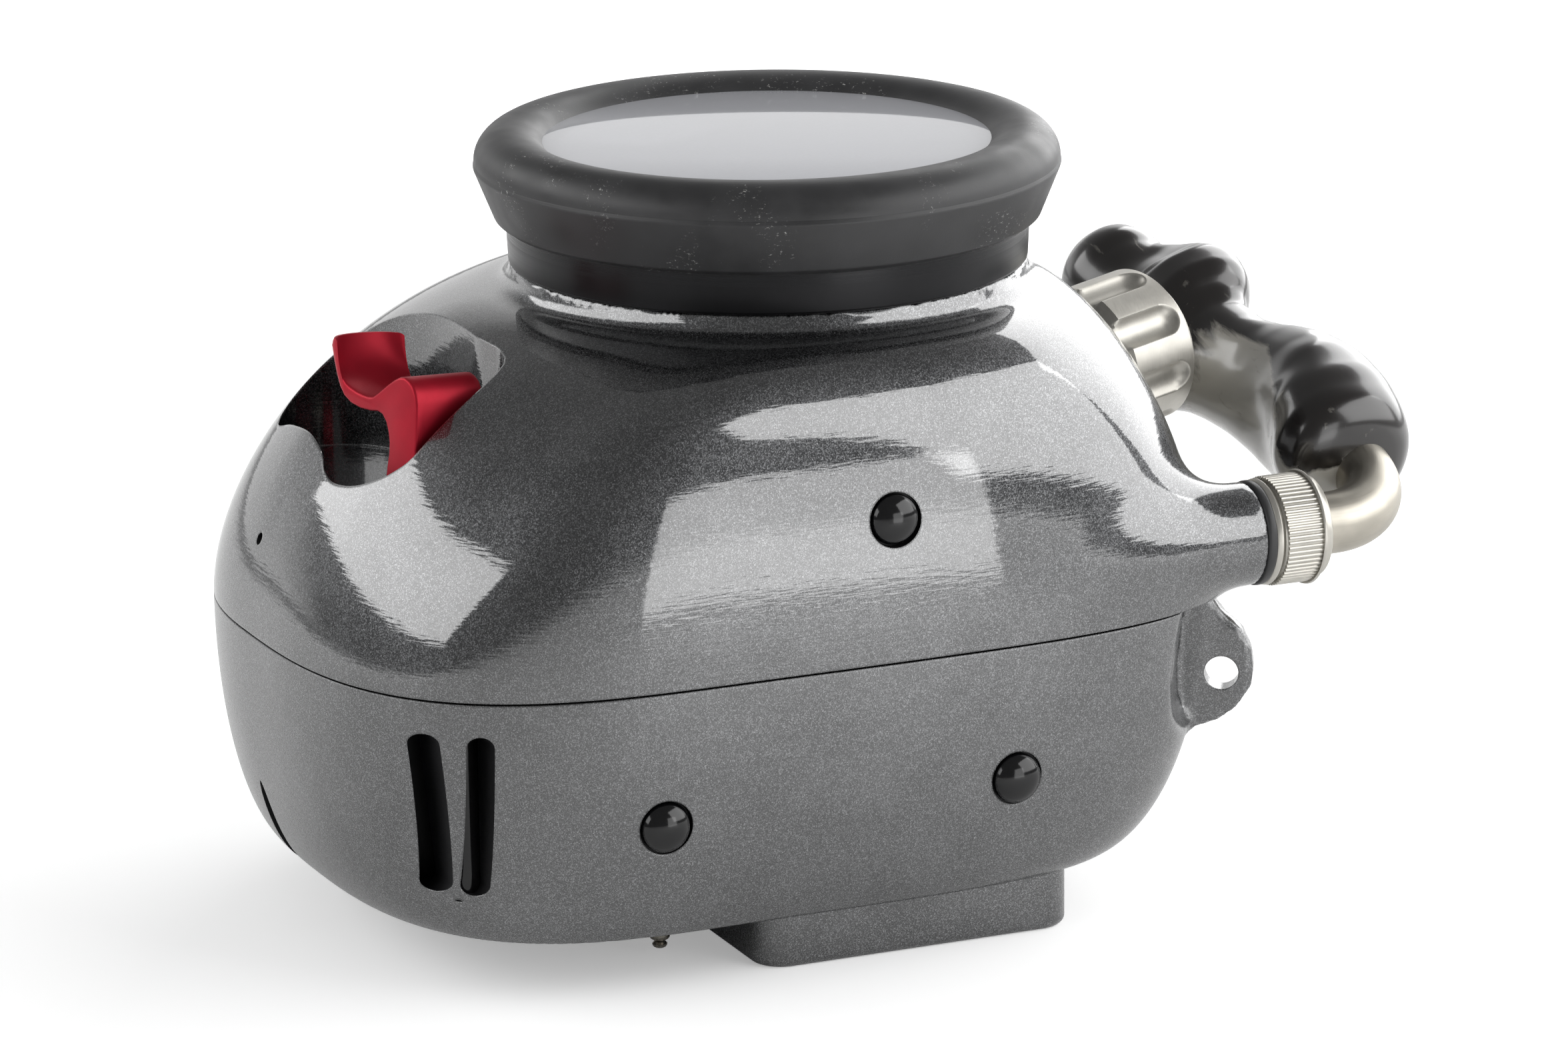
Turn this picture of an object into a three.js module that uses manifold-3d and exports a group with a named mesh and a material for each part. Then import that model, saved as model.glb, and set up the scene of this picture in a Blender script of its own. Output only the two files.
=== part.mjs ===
// Underwater camera housing, lying on its back with the lens port up.
// Millimetres. +Z is the port axis, +X runs towards the hand grip, -Y is the side with the three feet.
// The origin is where the port axis meets the surface that the rear block rests on.
import * as THREE from 'three';
import { mergeVertices } from 'three/addons/utils/BufferGeometryUtils.js';
import Module from 'manifold-3d';

const wasm = await Module();
wasm.setup();

// Clearances shared by all pieces
const fitGap = 0.3;
const cutOverrun = 2;

// Housing shells
const shellLength = 225;
const shellLeft = 135;
const shellRight = shellLength - shellLeft;
const shellNear = 91;
const shellFar = 84;
const cornerCentreX = -50;
const wall = 6.5;
const partingHeight = 75;
const partingGap = 0.5;
const rearBaseHeight = 14;
const neckRise = 77;
const neckTop = partingHeight + neckRise;
const neckRadius = 62;
const neckFillet = 4;
const neckStep = 5;
const neckShares = [0.75, 0.35, 0.1];
const neckDropShare = 0.8333;
const domeTop = neckTop - neckStep;
const spigotSeat = 8;
const spigotBore = neckRadius - spigotSeat;
const rearInsetLeft = 18;
const rearInsetRight = 28;
const rearInsetSide = 9;
const nearLeftPowerShare = 3.0;
const nearRightPowerShare = 5.2;
const farLeftPowerShare = 2.4;
const farRightPowerShare = 4.0;
const domePowerShare = 1.74;
const nearSidePowerShare = 2.9;
const nearSideReachShare = 8;
const rearPowerShare = 2.0;
const ringSpreadShare = 1.15;
const outlineCount = 40;
const domeRingCount = 8;
const cavityRingCount = 5;
const rearRingCount = 5;

// Parting seal
const sealWire = 1.3;
const sealInset = 4.7;
const rabbetInset = 3.1;

// Rear block with its two windows
const blockLeft = 37;
const blockRight = 44;
const blockNearInset = 13;
const blockNear = shellNear - blockNearInset;
const blockFarInset = 28;
const blockFar = shellFar - blockFarInset;
const blockCorner = 8;
const blockChamfer = 2;
const blockChamferFootShare = 0.294;
const screenPaneWidth = 70;
const screenPaneDepth = 50;
const screenCentreX = (blockRight - blockLeft) / 2;
const screenInset = 11;
const screenCentreY = screenInset + screenPaneDepth / 2 - blockNear;
const eyePaneWidth = 46;
const eyePaneDepth = 32;
const eyeInset = 8;
const eyeCentreY = blockFar - eyeInset - eyePaneDepth / 2;
const paneThickness = 5;
const paneRecess = 1;
const paneLedge = 5;
const paneCorner = 5;

// Port
const bandRise = 10.4;
const bandBottom = neckTop + bandRise;
const bandHeight = 13.6;
const seamHeight = bandBottom + bandHeight;
const collarFootInset = 0.3;
const collarFootRadius = neckRadius - collarFootInset;
const collarFlare = 1;
const collarTopRadius = collarFootRadius + collarFlare;
const bandFoot = 3;
const bandLowerRadius = collarTopRadius + bandFoot;
const bandCorner = 1.6;
const bumperReach = 7.3;
const bumperRadius = collarTopRadius + bumperReach;
const bumperOuterHalf = 8.3;
const bumperCrestRadius = bumperRadius - bumperOuterHalf;
const bumperCrestHeight = 7.7;
const bumperInnerHalf = 9.9;
const glassRise = 4;
const glassTop = seamHeight + glassRise;
const glassThickness = 6;
const glassRim = 5.7;
const glassRadius = collarTopRadius - glassRim;
const glassLedge = 7;
const collarInner = glassRadius - glassLedge;
const spigotDepth = 8;
const portSealInset = 3.6;
const portSealRadius = spigotBore + portSealInset;
const portSealWire = 1.1;
const portCount = 36;

// Finger recess for the shutter lever
const recessRise = 31;
const recessFloor = partingHeight + recessRise;
const recessWall = 5;
const recessX = -99;
const recessLength = 80;
const recessOutlineShares = [
  [0.225, -0.399], [0.237, -0.15], [0.24, 0.075], [0.219, 0.25], [0.163, 0.412], [0.05, 0.512],
  [-0.087, 0.512], [-0.181, 0.412], [-0.193, 0.25], [-0.197, 0.087], [-0.218, -0.062], [-0.243, -0.15],
  [-0.247, -0.25], [-0.218, -0.37], [-0.147, -0.467], [-0.05, -0.485],
];
const recessOutline = recessOutlineShares.map(([x, y]) => [recessX + recessLength * x, recessLength * y]);

// Shutter lever
const leverX = -105.4;
const leverY = -30;
const leverRise = 65.1;
const leverZ = partingHeight + leverRise;
const leverWidth = 20;
const leverPlanDeg = 17;
const leverDropDeg = 6;
const leverPivotAcross = -1.6;
const leverPivotDown = 24.6;
const leverHubRadius = 5.8;
const leverReach = 31.2;
const leverOutlineShares = [
  [1, 0.083], [0.981, 0.141], [0.936, 0.154], [0.91, 0.077], [0.846, -0.051], [0.75, -0.135],
  [0.631, -0.183], [0.497, -0.212], [0.378, -0.215], [0.301, -0.183], [0.147, -0.071], [0.045, -0.006],
  [-0.045, 0], [-0.128, -0.045], [-0.179, -0.141], [-0.205, -0.288], [-0.212, -0.513], [-0.218, -0.737],
  [0.122, -0.705], [0.115, -0.526], [0.16, -0.385], [0.237, -0.308], [0.365, -0.321], [0.481, -0.324],
  [0.603, -0.304], [0.718, -0.263], [0.833, -0.179], [0.929, -0.045],
];
const leverShaftRadius = 4;
const leverShaftLength = 45;
const leverBushStart = 23.6;
const leverBushLength = 10.5;
const leverBushRadius = 7;
const leverSpringWire = 1;
const leverSpringStart = 34.7;
const leverSpringLength = 3.8;
const leverSpringTurnCount = 3;
const leverArmStart = 39.2;
const leverArmThickness = 4;
const leverArmLength = 26;
const leverArmReach = 9;
const leverArmNeck = 3.5;
const leverArmShoulder = 5.5;
const leverArmHalf = 6;
const leverArmToe = 4;
const leverArmHeel = 3;
const leverArmWaist = 8;
const leverSealWire = 0.9;
const sealGrooveShare = 1.6;

// Control knob at the grip side
const knobX = 84;
const knobY = 3;
const knobRise = 39.5;
const knobZ = partingHeight + knobRise;
const knobPlanDeg = 17;
const knobRiseDeg = 6;
const knobRadius = 19;
const knobLength = 23;
const knobChamfer = 1.4;
const knobFluteRadius = 5;
const knobFluteDepth = 2.4;
const knobFluteLength = 15;
const knobFluteCount = 8;
const knobFluteTurnDeg = 15;
const fluteEndShare = 1.01;
const fluteCount = 10;
const knobShaftRadius = 4;
const knobShaftInside = 38;
const knobShaftOutside = 16;
const knobBushRadius = 7;
const knobBushFlange = 10;
const knobBushFlangeThickness = 1.6;
const knobBossRadius = 12;
const knobBossDepth = 26;
const knobStandOff = 2.6;
const knobSeatGap = 1.6;
const knobSeatRadius = knobRadius + knobSeatGap;
const knobSeatWall = 5;
const pinionRadius = 11;
const pinionThickness = 6;
const pinionToothDepth = 2.2;
const pinionToothCount = 18;

// Handle boss, clamp nut, tube and grip
const handleInset = 21;
const handleY = handleInset - shellNear;
const handleRise = 14;
const handleZ = partingHeight + handleRise;
const bossRadius = 12.4;
const bossEnd = 93;
const bossStart = 44;
const bossBackWall = 8;
const noseRadius = 10;
const noseLength = 14;
const tubeRadius = 7.5;
const tubeInsert = 22;
const shoulderSealThickness = 1.5;
const shoulderSealRadius = 12;
const nutRadius = 13.2;
const nutLength = 14.9;
const nutBand = 2.7;
const nutKnurlDepth = 0.55;
const nutKnurlCount = 26;
const tubeBendRadius = 17;
const tubeReach = 5.6;
const tubeBendStart = bossEnd + 2 * fitGap + shoulderSealThickness + nutLength + tubeReach;
const tubeRiseDeg = 22;
const tubeTail = 19;
const tubeRunShares = [0, 0.5, 0.85];
const tubeTailShares = [0.4, 1];
const gripX = 132.2;
const gripSetback = 13;
const gripNearY = handleY + gripSetback;
const gripLift = 9.5;
const gripNearZ = handleZ + gripLift;
const gripLength = 143;
const gripRiseDeg = 7.5;
const gripLeanDeg = -1.2;
const gripRadius = 20.5;
const gripBow = 2;
const gripWidthShare = 0.96;
const gripProfileShares = [
  [0.012, 0.3], [0.035, 0.62], [0.08, 0.88], [0.14, 1], [0.21, 1], [0.28, 0.93], [0.35, 0.79], [0.42, 0.69],
  [0.49, 0.66], [0.56, 0.7], [0.62, 0.8], [0.68, 0.9], [0.735, 0.91], [0.785, 0.8], [0.82, 0.68],
    [0.85, 0.66],
  [0.885, 0.72], [0.92, 0.71], [0.955, 0.6], [0.982, 0.38],
];
const gripSideCount = 16;

// Feet
const footRadius = 6;
const footRise = 4.6;
const footInset = 3.4;
const footPlaneY = footInset - shellNear;
const footSocketGap = 0.5;
const footStemRadius = 2;
const footStemLength = 3;
const footFrontX = -7.6;
const footFrontRise = 34;
const footFrontZ = partingHeight + footFrontRise;
const footRearLeftX = -65.6;
const footRearRightX = 23.5;
const footRearDrop = 32.4;
const footRearZ = partingHeight - footRearDrop;
const footDomeShares = [[1, 0.22], [0.93, 0.52], [0.74, 0.78], [0.42, 0.95], [0, 1]];

// Strap slots, strap bar and the pocket behind them
const slotWidth = 5.6;
const slotHeight = 39.5;
const slotEndShare = 0.96;
const slotDrop = 27.6;
const slotCentreZ = partingHeight - slotDrop;
const rightSlotInset = 27.7;
const rightSlotX = rightSlotInset - shellLeft;
const slotPitch = 8.7;
const leftSlotX = rightSlotX - slotPitch;
const leftSlotTiltDeg = 6;
const pocketEnd = 5;
const pocketRight = rightSlotX + pocketEnd;
const pocketSide = 0.3;
const pocketInset = 30.5;
const pocketNear = pocketInset - shellNear;
const pocketDepth = 7;
const pocketFar = pocketNear + pocketDepth;
const pocketWall = 5;
const strapBarRadius = 3.4;
const strapBarInset = 22.5;
const strapBarY = strapBarInset - shellNear;
const strapBarOverlap = 2;
const notchY = 4;
const notchWidth = 5;
const notchRise = 21;
const notchTop = rearBaseHeight + notchRise;
const notchReach = 25;

// Lanyard ear
const earOverhang = 0.9;
const earX = shellRight - earOverhang;
const earInset = 26;
const earY = earInset - shellNear;
const earDrop = 20.7;
const earZ = partingHeight - earDrop;
const earTurnDeg = -30;
const earThickness = 6;
const earHoleRadius = 4.1;
const earReach = 19.6;
const earOutlineShares = [
  [-0.117, 0.954], [0.031, 0.745], [0.245, 0.561], [0.362, 0.306], [0.393, 0.066], [0.362, -0.173],
  [0.173, -0.454], [-0.046, -0.612], [-0.332, -0.709], [-0.495, -0.796], [-0.607, -0.918],
  [-0.867, -0.918], [-0.867, 1], [-0.153, 1],
];
const earOutline = earOutlineShares.map(([x, y]) => [earReach * x, earReach * y]);

// Small drilled blind hole at the left end
const ventRadius = 1.4;
const ventDepth = 4;
const ventInset = 5.4;
const ventX = ventInset - shellLeft;
const ventY = 2.9;
const ventRise = 21.2;
const ventZ = partingHeight + ventRise;

// Rear push buttons
const buttonX = -53.5;
const buttonInset = 36;
const buttonFirstY = buttonInset - shellNear;
const buttonPitch = 27;
const buttonCount = 3;
const buttonPinRadius = 1.75;
const buttonTipRadius = 1.2;
const buttonTipStart = 2.4;
const buttonTipLength = 2.1;
const glandRadius = 5.5;
const glandSeatWall = 1.5;
const glandSeatRise = 2;
const glandFloor = rearBaseHeight + wall + glandSeatRise + fitGap;
const glandHeight = 11.2;
const glandTop = glandFloor + glandHeight;
const glandRoof = 2;
const buttonReach = 4;
const buttonTop = glandTop + buttonReach;
const buttonFlangeRadius = 3.9;
const buttonFlangeThickness = 1.6;
const buttonSpringWire = 0.8;
const buttonSpringTurnCount = 3;
const springFitShare = 0.8;

// Closure screws
const screwFarLeftX = -92;
const screwNearLeftX = -88;
const screwRightX = 56;
const screwFarLeftInset = 36;
const screwFarRightInset = 31;
const screwNearLeftInset = 31;
const screwNearRightInset = 29;
const screwPlaces = [
  [screwFarLeftX, shellFar - screwFarLeftInset], [screwNearLeftX, screwNearLeftInset - shellNear],
  [screwRightX, shellFar - screwFarRightInset], [screwRightX, screwNearRightInset - shellNear],
];
const screwRadius = 2.5;
const screwHeadRadius = 4.2;
const screwHeadLength = 5;
const screwSocketRadius = 2;
const screwSocketDepth = 2.6;
const screwHeadRecess = 2.5;
const screwHeadBase = rearBaseHeight + screwHeadRecess;
const screwReach = 12;
const screwTop = partingHeight + screwReach;
const columnRadius = 7;

// Camera tray inside
const trayLeft = -62;
const trayRight = 48;
const trayBaseRise = 15;
const trayBottom = rearBaseHeight + trayBaseRise;
const trayDrop = 5;
const trayTop = partingHeight - trayDrop;
const trayInset = 20;
const trayY = trayInset - shellNear;
const trayThickness = 4;
const padWidth = 14;
const padBaseRise = 16;
const padBottom = rearBaseHeight + padBaseRise;
const padDrop = 11;
const padTop = partingHeight - padDrop;
const padX = 38;
const traySlotX = 0;
const traySlotDrop = 28;
const traySlotZ = partingHeight - traySlotDrop;
const trayScrewRadius = 3.1;
const trayScrewHead = 8;
const trayScrewHeadLength = 5;
const trayScrewReach = 9;
const trayBoltRadius = 2;
const trayBoltHead = 3.6;
const trayBoltLength = 9;

// Side counts of round pieces, from thin to wide
const cordCount = 5;
const hexCount = 6;
const boltCount = 10;
const screwCount = 12;
const shaftCount = 14;
const wideCount = 16;
const hubCount = 18;
const barrelCount = 20;
const broadCount = 24;
const noseCount = 28;
const bossCount = 32;
const knobCount = 36;
const springStepCount = 6;
const planStepCount = 4;
const bumperStepCount = 5;
const bendStepCount = 6;
const tubeStepCount = 20;

const deg = Math.PI / 180;
const root = new THREE.Group();

// Materials, one for each finish
const finishes = {
  paint: { color: 0x4b4c4f, roughness: 0.35, metalness: 0.6 },
  blackAnodised: { color: 0x1d1d1f, roughness: 0.45, metalness: 0.6 },
  redAnodised: { color: 0xa5182b, roughness: 0.4, metalness: 0.7 },
  silver: { color: 0xc9c8c2, roughness: 0.35, metalness: 0.9 },
  steel: { color: 0xb9b6ad, roughness: 0.4, metalness: 0.9 },
  rubber: { color: 0x232324, roughness: 0.8, metalness: 0 },
  footRubber: { color: 0x0c0c0d, roughness: 0.25, metalness: 0 },
  horn: { color: 0x3a332e, roughness: 0.25, metalness: 0 },
  glass: { color: 0xdfe3e6, roughness: 0.05, metalness: 0 },
  polymer: { color: 0xd8d4c6, roughness: 0.5, metalness: 0 },
};

// Adds one named piece to a group
function addPiece(name, geometry, finish, parent = root) {
  const material = new THREE.MeshStandardMaterial({ ...finishes[finish], flatShading: true });
  const mesh = new THREE.Mesh(geometry, material);
  mesh.name = name;
  parent.add(mesh);
  return mesh;
}

function signedVolume(geometry) {
  const p = geometry.attributes.position;
  const index = geometry.index.array;
  const a = new THREE.Vector3();
  const b = new THREE.Vector3();
  const c = new THREE.Vector3();
  let sum = 0;
  for (let i = 0; i < index.length; i += 3) {
    a.fromBufferAttribute(p, index[i]);
    b.fromBufferAttribute(p, index[i + 1]);
    c.fromBufferAttribute(p, index[i + 2]);
    sum += a.dot(b.cross(c));
  }
  return sum;
}

// One closed, outward-facing mesh with shared vertices
function closed(source) {
  const bare = source.clone();
  bare.deleteAttribute('normal');
  bare.deleteAttribute('uv');
  const merged = mergeVertices(bare);
  const index = Array.from(merged.index.array);
  const kept = [];
  for (let i = 0; i < index.length; i += 3) {
    const [a, b, c] = index.slice(i, i + 3);
    if (a !== b && b !== c && c !== a) kept.push(a, b, c);
  }
  merged.setIndex(kept);
  if (signedVolume(merged) < 0) {
    for (let i = 0; i < kept.length; i += 3) [kept[i], kept[i + 1]] = [kept[i + 1], kept[i]];
    merged.setIndex(kept);
  }
  return merged;
}

function toSolid(geometry) {
  const merged = closed(geometry);
  return new wasm.Manifold(new wasm.Mesh({
    numProp: 3,
    vertProperties: new Float32Array(merged.attributes.position.array),
    triVerts: new Uint32Array(merged.index.array),
  }));
}

function toGeometry(solid) {
  const mesh = solid.getMesh();
  const geometry = new THREE.BufferGeometry();
  geometry.setAttribute('position', new THREE.BufferAttribute(new Float32Array(mesh.vertProperties), 3));
  geometry.setIndex(new THREE.BufferAttribute(new Uint32Array(mesh.triVerts), 1));
  return geometry;
}

const join = (first, ...rest) => rest.reduce((sum, g) => sum.add(toSolid(g)), toSolid(first));
const cut = (solid, ...tools) => tools.reduce((sum, g) => sum.subtract(toSolid(g)), solid);

// A closed skin through rings that all have the same number of points
function loft(rings) {
  const count = rings[0].length;
  const positions = rings.flat(2);
  const triangles = [];
  for (let r = 0; r + 1 < rings.length; r += 1) {
    for (let i = 0; i < count; i += 1) {
      const j = (i + 1) % count;
      const low = r * count;
      const high = low + count;
      triangles.push(low + i, low + j, high + j, low + i, high + j, high + i);
    }
  }
  for (const [ring, flip] of [[0, true], [rings.length - 1, false]]) {
    const centre = [0, 1, 2].map((k) => rings[ring].reduce((sum, p) => sum + p[k], 0) / count);
    const hub = positions.length / 3;
    positions.push(...centre);
    for (let i = 0; i < count; i += 1) {
      const a = ring * count + i;
      const b = ring * count + ((i + 1) % count);
      triangles.push(hub, flip ? b : a, flip ? a : b);
    }
  }
  const geometry = new THREE.BufferGeometry();
  geometry.setAttribute('position', new THREE.Float32BufferAttribute(positions, 3));
  geometry.setIndex(triangles);
  return closed(geometry);
}

// A closed ring of round section that follows a closed path of points
function closedCord(path, radius, sides) {
  const positions = [];
  const triangles = [];
  const count = path.length;
  path.forEach((p, i) => {
    const before = path[(i + count - 1) % count];
    const after = path[(i + 1) % count];
    const along = new THREE.Vector2(after[0] - before[0], after[1] - before[1]).normalize();
    for (let k = 0; k < sides; k += 1) {
      const turn = (k / sides) * 2 * Math.PI;
      const out = radius * Math.cos(turn);
      positions.push(p[0] + along.y * out, p[1] - along.x * out, p[2] + radius * Math.sin(turn));
      const low = i * sides;
      const high = ((i + 1) % count) * sides;
      const next = (k + 1) % sides;
      triangles.push(low + k, high + k, high + next, low + k, high + next, low + next);
    }
  });
  const geometry = new THREE.BufferGeometry();
  geometry.setAttribute('position', new THREE.Float32BufferAttribute(positions, 3));
  geometry.setIndex(triangles);
  return closed(geometry);
}

// Turned piece: the profile lists [radius, height] pairs, and the axis is Z
function turned(profile, sides) {
  const points = profile.map(([radius, height]) => new THREE.Vector2(radius, height));
  return closed(new THREE.LatheGeometry(points, sides).rotateX(Math.PI / 2));
}

// Turned ring whose profile closes on itself
function turnedRing(profile, sides) {
  return turned([...profile, profile[0]], sides);
}

// Straight-walled solid over a plan outline, from one height to another
function prism(outline, low, high) {
  const shape = new THREE.Shape(outline.map(([x, y]) => new THREE.Vector2(x, y)));
  return new THREE.ExtrudeGeometry(shape, { depth: high - low, bevelEnabled: false }).translate(0, 0, low);
}

function rodZ(radius, low, high, sides) {
  return new THREE.CylinderGeometry(radius, radius, high - low, sides).rotateX(Math.PI / 2)
    .translate(0, 0, (low + high) / 2);
}

function rodX(radius, low, high, sides) {
  return rodZ(radius, low, high, sides).rotateY(Math.PI / 2);
}

function boxBetween(x0, x1, y0, y1, z0, z1) {
  return new THREE.BoxGeometry(x1 - x0, y1 - y0, z1 - z0)
    .translate((x0 + x1) / 2, (y0 + y1) / 2, (z0 + z1) / 2);
}

function roundedPlan(x0, x1, y0, y1, corner) {
  const points = [];
  const corners = [[x1 - corner, y1 - corner, 0], [x0 + corner, y1 - corner, 1],
    [x0 + corner, y0 + corner, 2], [x1 - corner, y0 + corner, 3]];
  for (const [cx, cy, quarter] of corners) {
    for (let i = 0; i <= planStepCount; i += 1) {
      const turn = ((quarter + i / planStepCount) * Math.PI) / 2;
      points.push([cx + corner * Math.cos(turn), cy + corner * Math.sin(turn)]);
    }
  }
  return points;
}

// The same outline pushed outwards by a distance
function grown(outline, distance) {
  return outline.map((p, i) => {
    const before = outline[(i + outline.length - 1) % outline.length];
    const after = outline[(i + 1) % outline.length];
    const along = new THREE.Vector2(after[0] - before[0], after[1] - before[1]).normalize();
    return [p[0] + along.y * distance, p[1] - along.x * distance];
  });
}

// Helical spring of round wire about Z
function coil(radius, wire, low, high, turnCount) {
  const stepCount = springStepCount * turnCount;
  const points = [];
  for (let i = 0; i <= stepCount; i += 1) {
    const turn = (i / stepCount) * turnCount * 2 * Math.PI;
    const height = low + wire + ((high - low - 2 * wire) * i) / stepCount;
    points.push(new THREE.Vector3(radius * Math.cos(turn), radius * Math.sin(turn), height));
  }
  return tubeAlong(points, wire, cordCount, stepCount);
}

function circleShape(radius, sides) {
  const points = [];
  for (let i = 0; i < sides; i += 1) {
    const turn = (i / sides) * 2 * Math.PI;
    points.push(new THREE.Vector2(radius * Math.cos(turn), radius * Math.sin(turn)));
  }
  return new THREE.Shape(points);
}

function tubeAlong(points, radius, sides, stepCount) {
  const path = new THREE.CatmullRomCurve3(points, false, 'centripetal');
  const settings = { steps: stepCount, extrudePath: path, bevelEnabled: false };
  return closed(new THREE.ExtrudeGeometry(circleShape(radius, sides), settings));
}

// Plan outline of the shells where they part: four corners, each a superellipse quarter
function powerPoint(angle, left, right, near, far) {
  const c = Math.cos(angle);
  const s = Math.sin(angle);
  const leftPower = s < 0 ? nearLeftPowerShare : farLeftPowerShare;
  const rightPower = s < 0 ? nearRightPowerShare : farRightPowerShare;
  const power = c < 0 ? leftPower : rightPower;
  const reachX = c < 0 ? left + cornerCentreX : right - cornerCentreX;
  const reachY = s < 0 ? near : far;
  const x = cornerCentreX + reachX * Math.sign(c) * Math.abs(c) ** (2 / power);
  return [x, reachY * Math.sign(s) * Math.abs(s) ** (2 / power)];
}

const outlineAngles = Array.from({ length: outlineCount },
  (_, i) => ((i + 0.5) / outlineCount) * 2 * Math.PI);

function shellPoint(angle, inset) {
  return powerPoint(angle, shellLeft - inset, shellRight - inset, shellNear - inset, shellFar - inset);
}

function outlineRing(inset, height) {
  return outlineAngles.map((angle) => [...shellPoint(angle, inset), height]);
}

// Front dome: each point runs from the neck circle out and down to the parting outline
function domePoint(angle, share, inset, crown, circle) {
  const nearness = Math.sin(angle) < 0 ? Math.abs(Math.sin(angle)) ** nearSideReachShare : 0;
  const power = domePowerShare + (nearSidePowerShare - domePowerShare) * nearness;
  const out = Math.sin((share * Math.PI) / 2) ** (2 / power);
  const down = 1 - Math.cos((share * Math.PI) / 2) ** (2 / power);
  const [x, y] = shellPoint(angle, inset);
  const cx = circle * Math.cos(angle);
  const cy = circle * Math.sin(angle);
  const foot = partingHeight + partingGap / 2;
  return [cx + (x - cx) * out, cy + (y - cy) * out, crown + (foot - crown) * down];
}

function domeRings(inset, crown, circle, ringCount) {
  const rings = [];
  for (let r = 0; r < ringCount; r += 1) {
    const share = 1 - (r / ringCount) ** ringSpreadShare;
    rings.push(outlineAngles.map((angle) => domePoint(angle, share, inset, crown, circle)));
  }
  return rings;
}

function circleRing(radius, height) {
  return outlineAngles.map((angle) => [radius * Math.cos(angle), radius * Math.sin(angle), height]);
}

function frontOuter() {
  const neck = neckShares.map((share) => {
    const turn = (share * Math.PI) / 2;
    const drop = neckFillet * neckDropShare * Math.sin(turn);
    return circleRing(neckRadius + neckFillet * (1 - Math.cos(turn)), neckTop - drop);
  });
  return loft([...domeRings(0, domeTop, neckRadius, domeRingCount), ...neck,
    circleRing(neckRadius, neckTop)]);
}

function frontCavity() {
  const rings = domeRings(wall, domeTop - wall, spigotBore, cavityRingCount);
  rings[0] = rings[0].map(([x, y]) => [x, y, partingHeight - cutOverrun]);
  return loft([...rings, circleRing(spigotBore, domeTop - wall),
    circleRing(spigotBore, neckTop + cutOverrun)]);
}

// Rear shell: from the flat back out to the parting outline
function rearPoint(angle, share, inset, base) {
  const out = Math.sin((share * Math.PI) / 2) ** (2 / rearPowerShare);
  const up = 1 - Math.cos((share * Math.PI) / 2) ** (2 / rearPowerShare);
  const [x, y] = shellPoint(angle, inset);
  const [bx, by] = powerPoint(angle, shellLeft - rearInsetLeft - inset, shellRight - rearInsetRight - inset,
    shellNear - rearInsetSide - inset, shellFar - rearInsetSide - inset);
  const rim = partingHeight - partingGap / 2;
  return [bx + (x - bx) * out, by + (y - by) * out, base + (rim - base) * up];
}

function rearRings(inset, base, ringCount) {
  const rings = [];
  for (let r = 0; r <= ringCount; r += 1) {
    rings.push(outlineAngles.map((angle) => rearPoint(angle, r / ringCount, inset, base)));
  }
  return rings;
}

function knobFrame() {
  const turn = new THREE.Euler(0, -knobRiseDeg * deg, knobPlanDeg * deg, 'ZYX');
  return new THREE.Matrix4().makeRotationFromEuler(turn).setPosition(knobX, knobY, knobZ);
}

function leverFrame() {
  const turn = new THREE.Euler(0, leverDropDeg * deg, leverPlanDeg * deg, 'ZYX');
  return new THREE.Matrix4().makeRotationFromEuler(turn).setPosition(leverX, leverY, leverZ);
}

// Shapes in the lever's own frame: X along its pivot, Y towards the pad, Z up
function leverRod(radius, low, high, sides) {
  return rodX(radius, low, high, sides).translate(0, leverPivotAcross, -leverPivotDown);
}

const bossBoreStart = bossEnd - tubeInsert;

function screwColumns(low, high, radius, sides) {
  return screwPlaces.map(([x, y]) => rodZ(radius, low, high, sides).translate(x, y, 0));
}

function footTools(x, z) {
  const face = footPlaneY;
  const socket = rodZ(footRadius + footSocketGap, 0, footRise + cutOverrun, broadCount);
  const stem = rodZ(footStemRadius + fitGap, -footStemLength - fitGap, cutOverrun, screwCount);
  return [socket, stem].map((g) => g.rotateX(Math.PI / 2).translate(x, face, z));
}

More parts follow.
